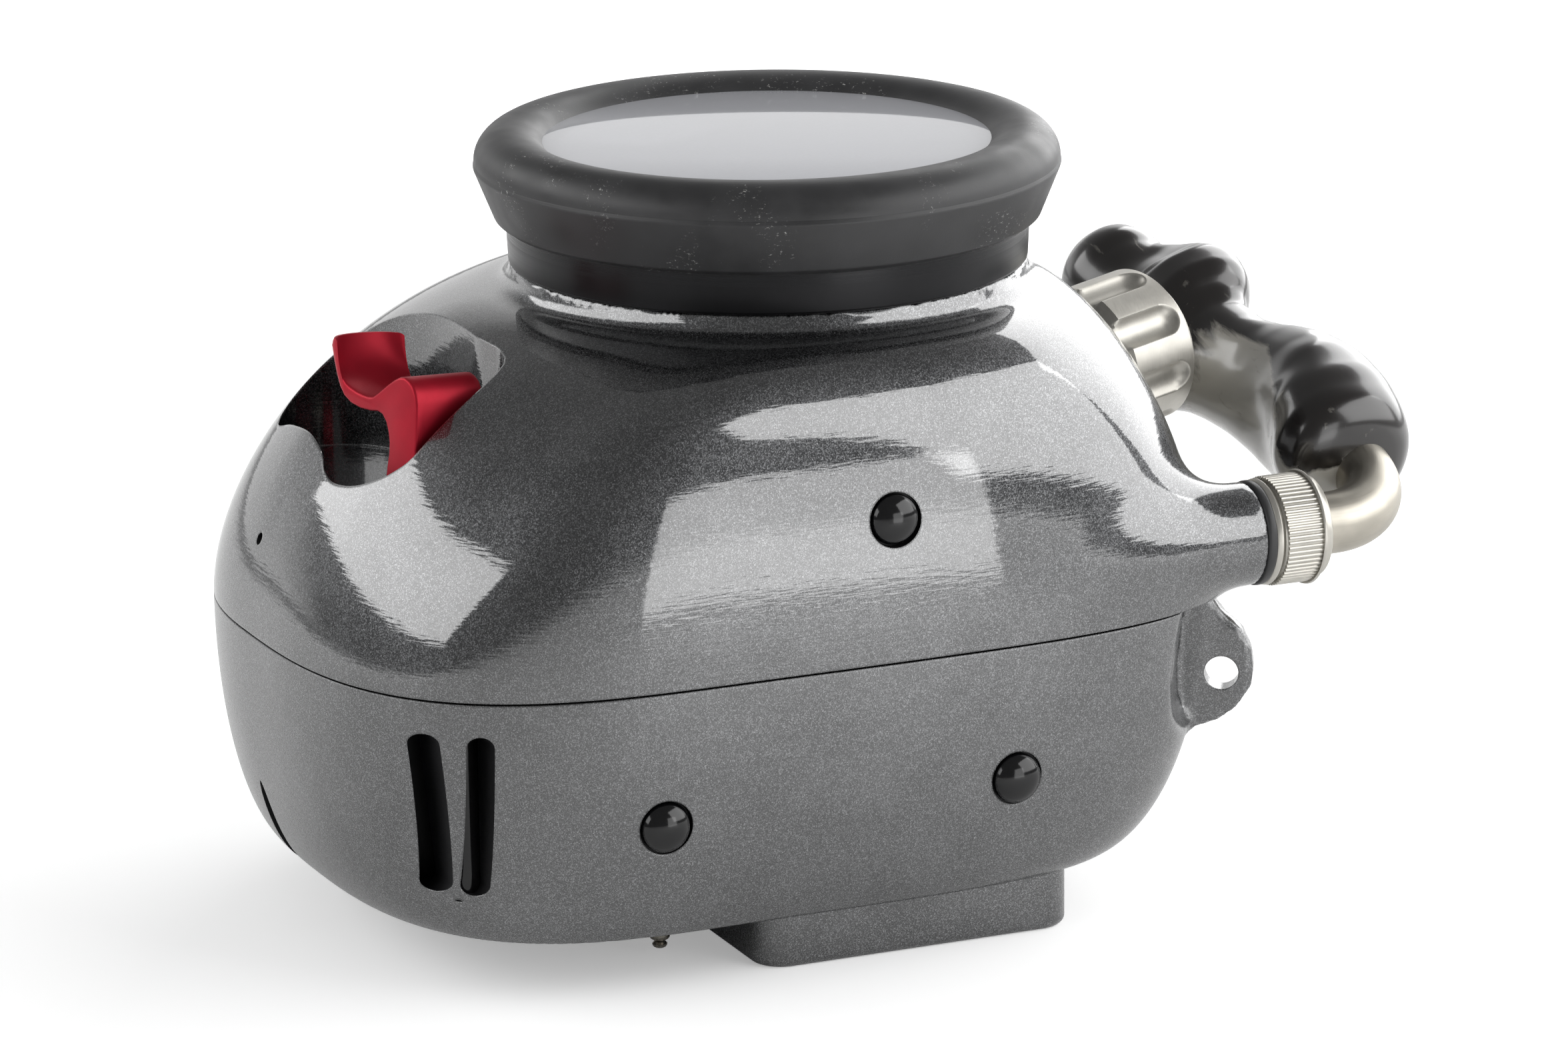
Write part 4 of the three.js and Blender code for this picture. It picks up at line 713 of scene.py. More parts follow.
def rear_casting(paint, bore_and_shade):
    s = sizes()
    top = (s.parting - s.gap / 2) / MM
    cuts = [(*block_of(round_rectangle(-150, 120, -100, 100, 5), top, 95), paint)]
    for x0, x1, y0, y1 in ((-31.8, 38.8, -67.3, -16.7), (-19.8, 26.8, 15.7, 48.3)):
        cuts.append((*block_of(round_rectangle(x0, x1, y0, y1, 5), -4, 6.3), paint))
        cuts.append((*block_of(round_rectangle(x0 + 5.3, x1 - 5.3, y0 + 5.3, y1 - 5.3, 5), 0, 30), bore_and_shade))
    # The strap slots, the pocket behind them and the slit are cut with the black bore finish, which paints
    # the shade inside them.
    cuts += [(*strap_slot(-107.3, 0), bore_and_shade), (*strap_slot(-116, 6), bore_and_shade)]
    pocket = [(-117.0, 27.65), (-102.3, 27.65), (-102.3, 67.15), (-121.2, 67.15)]
    cuts.append((*block_of(pocket, -60.4, -53.4, "xz"), bore_and_shade))
    cuts.append((*bar((-107.3, -68.4, 0), (0, 0, 1), 3.7, 25.65, 69.15), bore_and_shade))
    slit = softened([(4.2, 36.5), (2.4, 33), (1.6, 24), (1.3, 8), (4.2, 4), (7.2, 8), (6.8, 24), (6.0, 33)])
    cuts.append((*block_of(slit, -140, -110, "yz"), bore_and_shade))
    ear_out = Vector((-math.sin(EAR_BEARING), -math.cos(EAR_BEARING), 0))
    cuts.append((*bar(EAR_AT, ear_out, 4.1, -8, 8), paint))
    for sx, sy in SCREWS:
        cuts.append((*bar((sx, sy, 0), (0, 0, 1), 4.5, -5, 21.8, 40), paint))
        cuts.append((*bar((sx, sy, 0), (0, 0, 1), SCREW_HOLE, 0, 90, 24), bore_and_shade))
    cuts += [(*bar((bx, by, 0), (0, 0, 1), BUTTON_HOLE, 0, 30, 24), bore_and_shade) for bx, by in BUTTONS]
    cuts += [(*bar((px, -71, 47), (0, -1, 0), 2.3, 0, 9, 20), bore_and_shade) for px in (-38, 38)]
    for fx, fz in REAR_FEET.values():
        cuts += foot_socket(fx, fz, bore_and_shade)
    return worked("rear_casting", rear_skin(), [(*foot_block(), paint)], cuts, paint)


# Materials


def add(tree, kind, settings=None, links=None):
    """Adds a node: settings fill its options and sockets, links feed its sockets."""
    node = tree.nodes.new(kind)
    for key, value in (settings or {}).items():
        if isinstance(key, str) and hasattr(node, key) and key not in node.inputs:
            setattr(node, key, value)
        else:
            node.inputs[key].default_value = value
    for key, source in (links or {}).items():
        tree.links.new(source, node.inputs[key])
    return node


def finish_named(name):
    """A new material with a bare surface, and its tree, shader and object coordinates."""
    material = bpy.data.materials.new(name)
    material.use_nodes = True
    tree = material.node_tree
    tree.nodes.clear()
    shader = add(tree, "ShaderNodeBsdfPrincipled")
    add(tree, "ShaderNodeOutputMaterial", links={"Surface": shader.outputs[0]})
    return material, tree, shader, add(tree, "ShaderNodeTexCoord").outputs["Object"]


def stretched(tree, where, period_mm, turn=(0, 0, 0)):
    """Coordinates in which a pattern has the given real period along each axis."""
    scale = [1 / (p * MM) for p in period_mm]
    turned = add(tree, "ShaderNodeMapping", {"Rotation": turn}, {"Vector": where})
    return add(tree, "ShaderNodeMapping", {"Scale": scale}, {"Vector": turned.outputs[0]}).outputs[0]


def clouds(tree, where, period_mm, detail=2.0, roughness=0.5, distortion=0.0, turn=(0, 0, 0)):
    """A random pattern with the given real period along each axis."""
    return add(tree, "ShaderNodeTexNoise",
               {"Scale": 1.0, "Detail": detail, "Roughness": roughness, "Distortion": distortion},
               {"Vector": stretched(tree, where, period_mm, turn)}).outputs["Fac"]


def toned(tone, share):
    """The colour, this many times as bright."""
    return [c * share for c in tone[:3]] + [1]


def set_values(shader, **values):
    """Sets uniform values on the shader, by socket name with underscores for spaces."""
    for key, value in values.items():
        shader.inputs[key.replace("_", " ")].default_value = value


def coloured(tree, shader, pattern, first, second, low=0.0, high=1.0):
    """Runs the base colour from first to second as a pattern goes from low to high."""
    amount = add(tree, "ShaderNodeMapRange", {"From Min": low, "From Max": high}, {"Value": pattern})
    shade = add(tree, "ShaderNodeMix", {"data_type": "RGBA", 6: first, 7: second}, {0: amount.outputs[0]})
    tree.links.new(shade.outputs[2], shader.inputs["Base Color"])


def roughened(tree, shader, pattern, smooth, rough):
    """Runs the roughness from smooth to rough with a pattern."""
    amount = add(tree, "ShaderNodeMapRange",
                 {"From Min": 0.3, "From Max": 0.7, "To Min": smooth, "To Max": rough}, {"Value": pattern})
    tree.links.new(amount.outputs[0], shader.inputs["Roughness"])


def embossed(tree, shader, pattern, depth_mm):
    """Gives the surface a relief of a real depth."""
    relief = add(tree, "ShaderNodeBump", {"Distance": depth_mm * MM, "Strength": 1.0}, {"Height": pattern})
    tree.links.new(relief.outputs[0], shader.inputs["Normal"])


def lacquer(name, gloss_roughness, ripple_mm):
    """Metallic car lacquer, sprayed over a casting and clear-coated: flakes sparkle under a glossy layer,
    the machining steps below telegraph through as fine level ripples, and the paint rounds every edge."""
    tint = bpy.context.scene.housing_finishes
    material, tree, shader, where = finish_named(name)
    rounded = add(tree, "ShaderNodeBevel", {"samples": 4, "Radius": 0.7 * MM}).outputs[0]
    # Real flakes are 0.05 mm; drawn as 0.24 mm so that they show.
    cells = stretched(tree, where, (0.24,) * 3)
    flakes = add(tree, "ShaderNodeTexVoronoi", {"Scale": 1.0}, {"Vector": cells})
    tilt = add(tree, "ShaderNodeMapRange", {}, {"Value": flakes.outputs["Color"]}).outputs[0]
    sparkle = add(tree, "ShaderNodeMath", {"operation": "POWER", 1: 3.0}, {0: tilt}).outputs[0]
    drift = add(tree, "ShaderNodeMapRange",
                {"From Min": 0.3, "From Max": 0.7, "To Min": -0.05, "To Max": 0.05},
                {"Value": clouds(tree, where, (14,) * 3)}).outputs[0]
    amount = add(tree, "ShaderNodeMath", {"operation": "ADD"}, {0: sparkle, 1: drift}).outputs[0]
    coloured(tree, shader, amount, tint.lacquer, tint.flake)
    facets = add(tree, "ShaderNodeBump", {"Distance": 0.03 * MM, "Strength": 0.3},
                 {"Height": tilt, "Normal": rounded})
    tree.links.new(facets.outputs[0], shader.inputs["Normal"])
    level, pits = clouds(tree, where, (7, 7, 0.8)), clouds(tree, where, (1.6,) * 3)
    gloss = rounded
    for height, depth_mm in ((level, ripple_mm), (pits, 0.004)):
        gloss = add(tree, "ShaderNodeBump", {"Distance": depth_mm * MM, "Strength": 1.0},
                    {"Height": height, "Normal": gloss}).outputs[0]
    tree.links.new(gloss, shader.inputs["Coat Normal"])
    set_values(shader, Metallic=0.9, Roughness=0.42, Coat_Weight=1.0, Coat_Roughness=gloss_roughness,
               Coat_IOR=2.1)
    return material


def turned_metal(name, tone, roughness, metallic=1.0, centre=(0, 0, 0), turn=(0, 0, 0)):
    """Turned metal: fine tool lines run round the axis, which is Z after the turn."""
    line_mm, depth_mm = 0.35, 0.004
    material, tree, shader, where = finish_named(name)
    moved = add(tree, "ShaderNodeMapping", {"Location": [-c * MM for c in centre]}, {"Vector": where})
    upright = add(tree, "ShaderNodeMapping", {"Rotation": turn}, {"Vector": moved.outputs[0]})
    split = add(tree, "ShaderNodeSeparateXYZ", links={0: upright.outputs[0]})
    flat = add(tree, "ShaderNodeCombineXYZ", links={"X": split.outputs[0], "Y": split.outputs[1]})
    radius = add(tree, "ShaderNodeVectorMath", {"operation": "LENGTH"}, {0: flat.outputs[0]})
    profile = add(tree, "ShaderNodeCombineXYZ", links={"X": radius.outputs["Value"], "Y": split.outputs[2]})
    lines = add(tree, "ShaderNodeTexNoise", {"Scale": 1.0, "Detail": 2.0, "Roughness": 0.6},
                {"Vector": stretched(tree, profile.outputs[0], (line_mm,) * 3)}).outputs["Fac"]
    patina = add(tree, "ShaderNodeMath", {"operation": "MULTIPLY_ADD", 1: 0.6},
                 {0: lines, 2: clouds(tree, where, (6,) * 3, 3)}).outputs[0]
    coloured(tree, shader, patina, toned(tone, 0.78), tone, 0.5, 1.1)
    roughened(tree, shader, lines, roughness - 0.05, roughness + 0.07)
    embossed(tree, shader, lines, depth_mm)
    set_values(shader, Metallic=metallic)
    return material


def plain_metal(name, tone, roughness, metallic=1.0, grain_mm=(0.5, 0.5, 4), depth_mm=0.003, attribute=None):
    """Brushed, blasted or anodised metal with a fine grain of the given size."""
    material, tree, shader, where = finish_named(name)
    if attribute:
        where = add(tree, "ShaderNodeAttribute", {"attribute_name": attribute}).outputs["Vector"]
    grain = clouds(tree, where, grain_mm, 3, 0.6)
    coloured(tree, shader, clouds(tree, where, (8,) * 3, 3), toned(tone, 0.82), tone, 0.35, 0.7)
    roughened(tree, shader, grain, roughness - 0.05, roughness + 0.06)
    embossed(tree, shader, grain, depth_mm)
    set_values(shader, Metallic=metallic)
    return material


def moulded_rubber(name, tone, scuff, wear):
    """Moulded rubber: matt and finely grained, with pale rubbed marks where wear is above zero."""
    material, tree, shader, where = finish_named(name)
    cloud = clouds(tree, where, (9,) * 3, 3)
    marks = add(tree, "ShaderNodeValue").outputs[0]
    marks.default_value = wear
    patches, specks = clouds(tree, where, (17,) * 3), clouds(tree, where, (1.1, 1.1, 0.6), 4, 0.75)
    for pattern, low, high in ((patches, 0.56, 0.66), (specks, 0.6, 0.68)):
        part = add(tree, "ShaderNodeMapRange", {"From Min": low, "From Max": high}, {"Value": pattern})
        both = add(tree, "ShaderNodeMath", {"operation": "MULTIPLY"}, {0: marks, 1: part.outputs[0]})
        marks = both.outputs[0]
    coloured(tree, shader, cloud, tone, toned(tone, 1.5), 0.3, 0.75)
    ground = shader.inputs["Base Color"].links[0].from_socket
    worn = add(tree, "ShaderNodeMix", {"data_type": "RGBA", 7: scuff}, {0: marks, 6: ground})
    tree.links.new(worn.outputs[2], shader.inputs["Base Color"])
    roughened(tree, shader, cloud, 0.4, 0.52)
    embossed(tree, shader, clouds(tree, where, (0.5,) * 3, 3, 0.6), 0.02)
    return material


def polished_rubber(name, tone):
    """Polished black rubber: glossy, with a slight orange peel."""
    material, tree, shader, where = finish_named(name)
    peel = clouds(tree, where, (1.5,) * 3)
    coloured(tree, shader, peel, tone, toned(tone, 1.4), 0.3, 0.7)
    embossed(tree, shader, peel, 0.01)
    set_values(shader, Roughness=0.12)
    return material


def polished_horn(name, dark, pale):
    """Polished horn: brown-black, with pale clouded streaks that run along the growth, and a painted
    reflection that lightens the carved face.
    """
    material, tree, shader, where = finish_named(name)
    growth = (0.12, 0, 0.1)
    streaks = clouds(tree, where, (5, 26, 7), 5, 0.6, 1.2, growth)
    along = add(tree, "ShaderNodeSeparateXYZ", links={0: where}).outputs[1]
    # Painted reflection: the carved face, which the grip marks in the attribute pale, is painted pale here
    # for its reflection of the bright floor and lamp.
    carved = add(tree, "ShaderNodeAttribute", {"attribute_name": "pale"}).outputs["Fac"]
    # The waist, 8 mm past the middle, is paler over 16 mm on each side.
    beside = add(tree, "ShaderNodeMath", {"operation": "SUBTRACT", 1: 8 * MM}, {0: along})
    apart = add(tree, "ShaderNodeMath", {"operation": "ABSOLUTE"}, {0: beside.outputs[0]})
    waist = add(tree, "ShaderNodeMapRange", {"From Min": 16 * MM, "From Max": 0.0},
                {"Value": apart.outputs[0]})
    streaks_and_sheen = streaks
    for place, share in ((carved, 0.52), (waist.outputs[0], 0.13)):
        streaks_and_sheen = add(tree, "ShaderNodeMath", {"operation": "MULTIPLY_ADD", 1: share},
                       {0: place, 2: streaks_and_sheen}).outputs[0]
    coloured(tree, shader, streaks_and_sheen, dark, pale, 0.64, 0.92)
    embossed(tree, shader, clouds(tree, where, (0.5, 6, 0.7), 3, 0.6, turn=growth), 0.01)
    set_values(shader, Roughness=0.24, Coat_Weight=0.6, Coat_Roughness=0.12, IOR=1.54)
    return material


def port_glass_finish(name, tint):
    """Flat optical glass: clear, with a painted pale sheen in its tint that stands for its reflection of the
    bright backdrop, and faint dust.
    """
    material, tree, shader, where = finish_named(name)
    dust = clouds(tree, where, (0.8,) * 3, 4, 0.7)
    coloured(tree, shader, dust, tint, toned(tint, 0.96), 0.3, 0.8)
    roughened(tree, shader, dust, 0.02, 0.06)
    set_values(shader, Transmission_Weight=0.35, IOR=1.5)
    return material


def moulded_polymer(name, tone):
    """Moulded acetal: off-white, even and slightly waxy."""
    material, tree, shader, where = finish_named(name)
    coloured(tree, shader, clouds(tree, where, (3,) * 3), tone, toned(tone, 0.85))
    set_values(shader, Roughness=0.38, Subsurface_Weight=0.1)
    return material


def tone(name):
    """A colour of the Finishes group."""
    return list(getattr(bpy.context.scene.housing_finishes, name))


def turned_aluminium(name, roughness, centre):
    """Clear anodised aluminium, turned about an axis along X."""
    return turned_metal(name, tone("silver"), roughness, 0.85, centre, (0, -math.pi / 2, 0))


MAKERS = {
    "front_lacquer": lambda: lacquer("glossy_metallic_lacquer", 0.05, 0.03),
    "rear_lacquer": lambda: lacquer("satin_metallic_lacquer", 0.22, 0.006),
    # Black bore finish: the castings' black bores, and painted shade inside the strap slots, pocket and slit.
    "black_bore_and_shade": lambda: plain_metal("black_anodised_bore", tone("black_anodised"), 0.5, 0.3, (0.4,) * 3),
    "black_collar": lambda: turned_metal("turned_black_anodised_aluminium", tone("black_anodised"), 0.3, 0.6),
    "black_anodised": lambda: plain_metal("blasted_black_anodised_aluminium", tone("black_anodised"), 0.42,
                                          0.5, (0.4,) * 3),
    "red_anodised": lambda: plain_metal("blasted_red_anodised_aluminium", tone("red_anodised"), 0.45, 0.6,
                                        (0.3,) * 3),
    "knob_aluminium": lambda: turned_aluminium("turned_clear_anodised_aluminium", 0.42, KNOB_AT.translation),
    "nut_aluminium": lambda: turned_aluminium("ribbed_clear_anodised_aluminium", 0.36, BOSS_AT),
    "tube_steel": lambda: plain_metal("brushed_stainless_steel_tube", tone("steel"), 0.38, 1.0, (0.5, 0.5, 9),
                                      0.005, "straight"),
    "steel": lambda: plain_metal("turned_stainless_steel", tone("steel"), 0.28, 1.0, (0.6, 0.6, 0.3)),
    "spring_steel": lambda: plain_metal("drawn_spring_steel", tone("steel"), 0.25, 1.0, (0.4,) * 3),
    "bumper_rubber": lambda: moulded_rubber("moulded_bumper_rubber", tone("rubber"), tone("scuff"), 0.8),
    "seal_rubber": lambda: moulded_rubber("moulded_seal_rubber", tone("rubber"), tone("scuff"), 0.0),
    "foot_rubber": lambda: polished_rubber("polished_foot_rubber", tone("foot")),
    "horn": lambda: polished_horn("polished_horn", tone("horn_dark"), tone("horn_pale")),
    "port_glass": lambda: port_glass_finish("optical_port_glass", tone("glass")),
    "window": lambda: port_glass_finish("cast_acrylic_window", tone("glass")),
    "polymer": lambda: moulded_polymer("moulded_acetal", tone("polymer")),
}
MADE = {}


def finish_of(kind):
    """The material of a kind, made once."""
    if kind not in MADE:
        MADE[kind] = MAKERS[kind]()
    return MADE[kind]


def coat_nodes(kinds):
    """Gives CAD pieces that stay their own finishes."""
    for node, kind in kinds.items():
        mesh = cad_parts[node].data
        mesh.materials.clear()
        mesh.materials.append(finish_of(kind))


# Geometry Nodes


def node_tree(name, inputs):
    """A Geometry Nodes tree with named number inputs, its group input node, and each input's identifier."""
    tree = bpy.data.node_groups.new(name, "GeometryNodeTree")
    tree.interface.new_socket("Geometry", in_out="INPUT", socket_type="NodeSocketGeometry")
    tree.interface.new_socket("Geometry", in_out="OUTPUT", socket_type="NodeSocketGeometry")
    identifiers = {}
    for label, kind in inputs.items():
        identifiers[label] = tree.interface.new_socket(label, in_out="INPUT", socket_type=kind).identifier
    return tree, tree.nodes.new("NodeGroupInput"), identifiers


def grown_mesh(name, tree, identifiers, values, source=None):
    """Runs a tree on a point or a mesh and returns the plain mesh that it makes."""
    carrier = bpy.data.objects.new(name + "_maker", source or bpy.data.meshes.new(name + "_seed"))
    bpy.context.scene.collection.objects.link(carrier)
    modifier = carrier.modifiers.new("maker", "NODES")
    modifier.node_group = tree
    for label, value in values.items():
        modifier[identifiers[label]] = value
    ready = carrier.evaluated_get(bpy.context.evaluated_depsgraph_get())
    mesh = bpy.data.meshes.new_from_object(ready)
    bpy.data.objects.remove(carrier)
    mesh.name = name
    return mesh


def round_wire(tree, path, radius, sides):
    """A round wire along a curve."""
    section = add(tree, "GeometryNodeCurvePrimitiveCircle", {"Resolution": sides}, {"Radius": radius})
    return add(tree, "GeometryNodeCurveToMesh", {"Fill Caps": True},
               {"Curve": path, "Profile Curve": section.outputs[0]}).outputs[0]


def wound_wire_tree(material):
    """A coil of round wire, standing on the origin along Z."""
    tree, group, ids = node_tree("wound_wire", {
        "Turns": "NodeSocketFloat", "Coil Radius": "NodeSocketFloat", "Height": "NodeSocketFloat",
        "Wire Radius": "NodeSocketFloat"})
    spiral = add(tree, "GeometryNodeCurveSpiral", {"Resolution": 28}, {
        "Rotations": group.outputs["Turns"], "Start Radius": group.outputs["Coil Radius"],
        "End Radius": group.outputs["Coil Radius"], "Height": group.outputs["Height"]})
    close_tree(tree, round_wire(tree, spiral.outputs[0], group.outputs["Wire Radius"], 10), material)
    return tree, ids


def close_tree(tree, geometry, material):
    real = add(tree, "GeometryNodeRealizeInstances", links={0: geometry})
    dressed = add(tree, "GeometryNodeSetMaterial", {"Material": material}, {"Geometry": real.outputs[0]})
    add(tree, "NodeGroupOutput", links={0: dressed.outputs[0]})


def ribs_tree(material):
    """Straight ribs round a barrel that lies along Z."""
    tree, group, ids = node_tree("barrel_ribs", {
        "Count": "NodeSocketInt", "Radius": "NodeSocketFloat", "Length": "NodeSocketFloat",
        "Rib Radius": "NodeSocketFloat"})
    circle = add(tree, "GeometryNodeMeshCircle",
                 links={"Vertices": group.outputs["Count"], "Radius": group.outputs["Radius"]})
    rib = add(tree, "GeometryNodeMeshCylinder", {"Vertices": 8, "Side Segments": 1},
              {"Radius": group.outputs["Rib Radius"], "Depth": group.outputs["Length"]})
    copies = add(tree, "GeometryNodeInstanceOnPoints",
                 links={"Points": circle.outputs[0], "Instance": rib.outputs[0]})
    close_tree(tree, copies.outputs[0], material)
    return tree, ids


def cord_tree(material):
    """A round cord along the edges of the source mesh."""
    tree, group, ids = node_tree("seal_cord", {"Cord Radius": "NodeSocketFloat"})
    path = add(tree, "GeometryNodeMeshToCurve", links={0: group.outputs["Geometry"]})
    close_tree(tree, round_wire(tree, path.outputs[0], group.outputs["Cord Radius"], 14), material)
    return tree, ids


def joined(name, meshes, material):
    """One mesh from several, in metres."""
    shape = bmesh.new()
    for mesh in meshes:
        shape.from_mesh(mesh)
    whole = bpy.data.meshes.new(name)
    shape.to_mesh(whole)
    shape.free()
    return finish_mesh(name, whole, material)


# Operators


class HOUSING_OT_front(bpy.types.Operator):
    """Makes the front casting with its neck, recess, boss and sockets"""
    bl_idname = "housing.front"
    bl_label = "Front casting"

    def execute(self, context):
        shell = front_casting(finish_of("front_lacquer"), finish_of("black_bore_and_shade"))
        ride(shell, "front_housing", "shell_paint", "front_shell")
        return {"FINISHED"}


class HOUSING_OT_rear(bpy.types.Operator):
    """Makes the rear casting with its block, windows, slots and lanyard ear"""
    bl_idname = "housing.rear"
    bl_label = "Rear casting"

    def execute(self, context):
        shell = rear_casting(finish_of("rear_lacquer"), finish_of("black_bore_and_shade"))
        ride(shell, "rear_housing", "shell_paint", "rear_shell")
        rod_ends = filleted([(0, 25.95, 0), (3.4, 25.95, 0.6), (3.4, 68.85, 0.6), (0, 68.85, 0)])
        turned_piece("strap_lock_bar", rod_ends, 40, "foot_rubber", "rear_housing", "black_anodised",
                     "strap_bar", Matrix.Translation((-107.3, -68.4, 0)))
        return {"FINISHED"}


class HOUSING_OT_port(bpy.types.Operator):
    """Makes the port: collar, glass, seal and the two rubber bumper pieces"""
    bl_idname = "housing.port"
    bl_label = "Port"

    def execute(self, context):
        p = context.scene.housing_port
        seam, top, radius = p.seam / MM, p.glass_top / MM, p.bumper / MM
        collar = filleted([
            (50, 144, 0.6), (53.7, 144, 0.4), (53.7, 152.3, 0), (56.35, 152.3, 0), (56.35, 154.5, 0),
            (58.85, 154.5, 0), (58.85, 152.3, 0), (61.6, 152.3, 0.5), (62.6, 162.4, 0), (62.6, 179.6, 0.3),
            (57.3, 179.6, 0.3), (57.3, 173.7, 0), (50, 173.7, 0.4)])
        self.turn("collar", collar, "black_collar", "black_anodised", "port_collar", True)
        band = filleted([(63.1, 162.4, 0.5), (65.6, 162.4, 1.4), (69.7, 175.2, 0.5), (69.3, 175.85, 0.3),
                         (63.1, 175.85, 0)])
        self.turn("bumper_lower_band", band, "bumper_rubber", "rubber", "bumper_band", True)
        ring = self.crest(p.crest / MM, radius, seam + 0.15, top + 0.3)
        self.turn("bumper_rolled_ring", ring, "bumper_rubber", "rubber", "bumper_ring", True)
        rim, back = p.glass / MM, top - 6
        glass = filleted([(0, back, 0), (rim, back, 0.4), (rim, top, 0.5), (0, top, 0)])
        self.turn("port_window", glass, "port_glass", "port_glass", "port_glass", False)
        seal = [(57.6 + 1.1 * math.cos(t), 153.25 + 1.1 * math.sin(t)) for t in
                np.linspace(0, 2 * math.pi, 14, endpoint=False)]
        self.turn("port_o_ring", seal, "seal_rubber", "rubber", "port_seal", True)
        return {"FINISHED"}

    def turn(self, name, profile, kind, slot, node, ring):
        turned_piece(name, profile, 224, kind, "port", slot, node, None, ring, 45)

    def crest(self, middle, outer, base, lip):
        height, out, inn = 7.7, outer - middle, 9.9
        stop = math.asin((lip - base) / height)
        turns = [*np.linspace(0, math.pi / 2, 14), *np.linspace(math.pi / 2, math.pi - stop, 14)[1:]]
        profile = [(middle + (out if t <= math.pi / 2 else inn) * math.cos(t), base + height * math.sin(t))
                   for t in turns]
        return profile + [(63.1, lip), (63.1, base)]


class HOUSING_OT_lever(bpy.types.Operator):
    """Makes the shutter lever and dresses its shaft, bush, spring and arm"""
    bl_idname = "housing.lever"
    bl_label = "Shutter lever"

    def execute(self, context):
        lever = self.lever(context.scene.housing_controls.lever_width / MM)
        ride(lever, "lever", "red_anodised", "shutter_lever")
        coat_nodes({"lever_shaft": "steel", "lever_bush": "steel", "lever_seal": "seal_rubber",
                    "lever_arm": "black_anodised"})
        tree, ids = wound_wire_tree(finish_of("spring_steel"))
        mesh = grown_mesh("lever_return_spring", tree, ids, {
            "Turns": 3.0, "Coil Radius": 6 * MM, "Height": 2.8 * MM, "Wire Radius": 0.45 * MM})
        turn = LEVER_AT.to_3x3().to_4x4() @ Matrix.Translation((35.2, 0, 0)) @ AXIS_X
        mesh.transform(in_metres(Matrix.Translation(LEVER_PIVOT) @ turn))
        ride(finish_mesh("lever_return_spring", mesh, finish_of("spring_steel")), "front_housing", "steel",
             "lever_spring")
        return {"FINISHED"}

    def lever(self, width):
        """Slices across the width: drawn in at both sides, and shortened there so that the tip is round."""
        outline_points = np.array(LEVER_OUTLINE, float)
        ahead, behind = np.roll(outline_points, -1, 0), np.roll(outline_points, 1, 0)
        outward = np.stack([ahead[:, 1] - behind[:, 1], behind[:, 0] - ahead[:, 0]], 1)
        outward /= np.linalg.norm(outward, axis=1)[:, None]
        half, rounding, root, tip, rounded = width / 2, 0.7, 20.0, LEVER_OUTLINE[0][0], 5.5
        quarter = np.linspace(0, math.pi / 2, 4)
        side = [(rounding * (1 - math.cos(t)), rounding * (1 - math.sin(t))) for t in quarter]
        middle = [(x, 0) for x in np.linspace(rounding, width - rounding, 15)[1:-1]]
        points = []
        for x, inset in side + middle + [(width - x, inset) for x, inset in side[::-1]]:
            slice_points = outline_points - outward * inset
            reach = tip - rounded * (1 - math.sqrt(max(1 - ((x - half) / half) ** 2, 0)))
            far = slice_points[:, 0] > root
            slice_points[far, 0] = root + (slice_points[far, 0] - root) * (reach - root) / (tip - root)
            points += [(x, t, w) for t, w in slice_points]
        count, last = len(outline_points), len(points) - len(outline_points)
        faces = [(a + i, a + (i + 1) % count, a + count + (i + 1) % count, a + count + i)
                 for a in range(0, last, count) for i in range(count)]
        faces += [tuple(range(count))[::-1], tuple(range(last, last + count))]
        points = placed(np.array(points), LEVER_AT)
        return new_piece("red_shutter_lever", points, faces, finish_of("red_anodised"), 32)


# The lever's outline along its length and up, from the tip over the thumb rest and down the arm
LEVER_OUTLINE = [
    (31.2, 2.6), (30.9, 3.7), (30.2, 4.6), (29.4, 4.6), (28.9, 3.4), (28.2, 1.6), (27, -0.6), (25.4, -2.6),
    (23.4, -4.2), (21.4, -5.1), (19.2, -5.8), (16.8, -6.4), (14.4, -6.7), (12.2, -6.8), (10.6, -6.5),
    (9, -5.4), (7.4, -4.2), (5.4, -2.7), (3.2, -1.2), (1.2, -0.2), (-0.6, 0.1), (-2.4, -0.4), (-4, -1.4),
    (-5.2, -3.2), (-5.9, -5.6), (-6.2, -9), (-6.4, -13), (-6.5, -18), (-6.6, -23), (-6.9, -26), (-5.6, -28.6),
    (-3.4, -30.1), (-1, -30.4), (1.6, -29.5), (3.4, -27.6), (4.1, -25), (3.9, -22), (3.5, -18.6), (3.6, -16),
    (4.2, -13.6), (5.2, -11.6), (6.8, -10), (8.6, -9.6), (11.4, -10), (15, -10.1), (18.8, -9.5), (22.4, -8.2),
    (25.2, -6.3), (27.6, -3.6), (29.6, -0.4)]


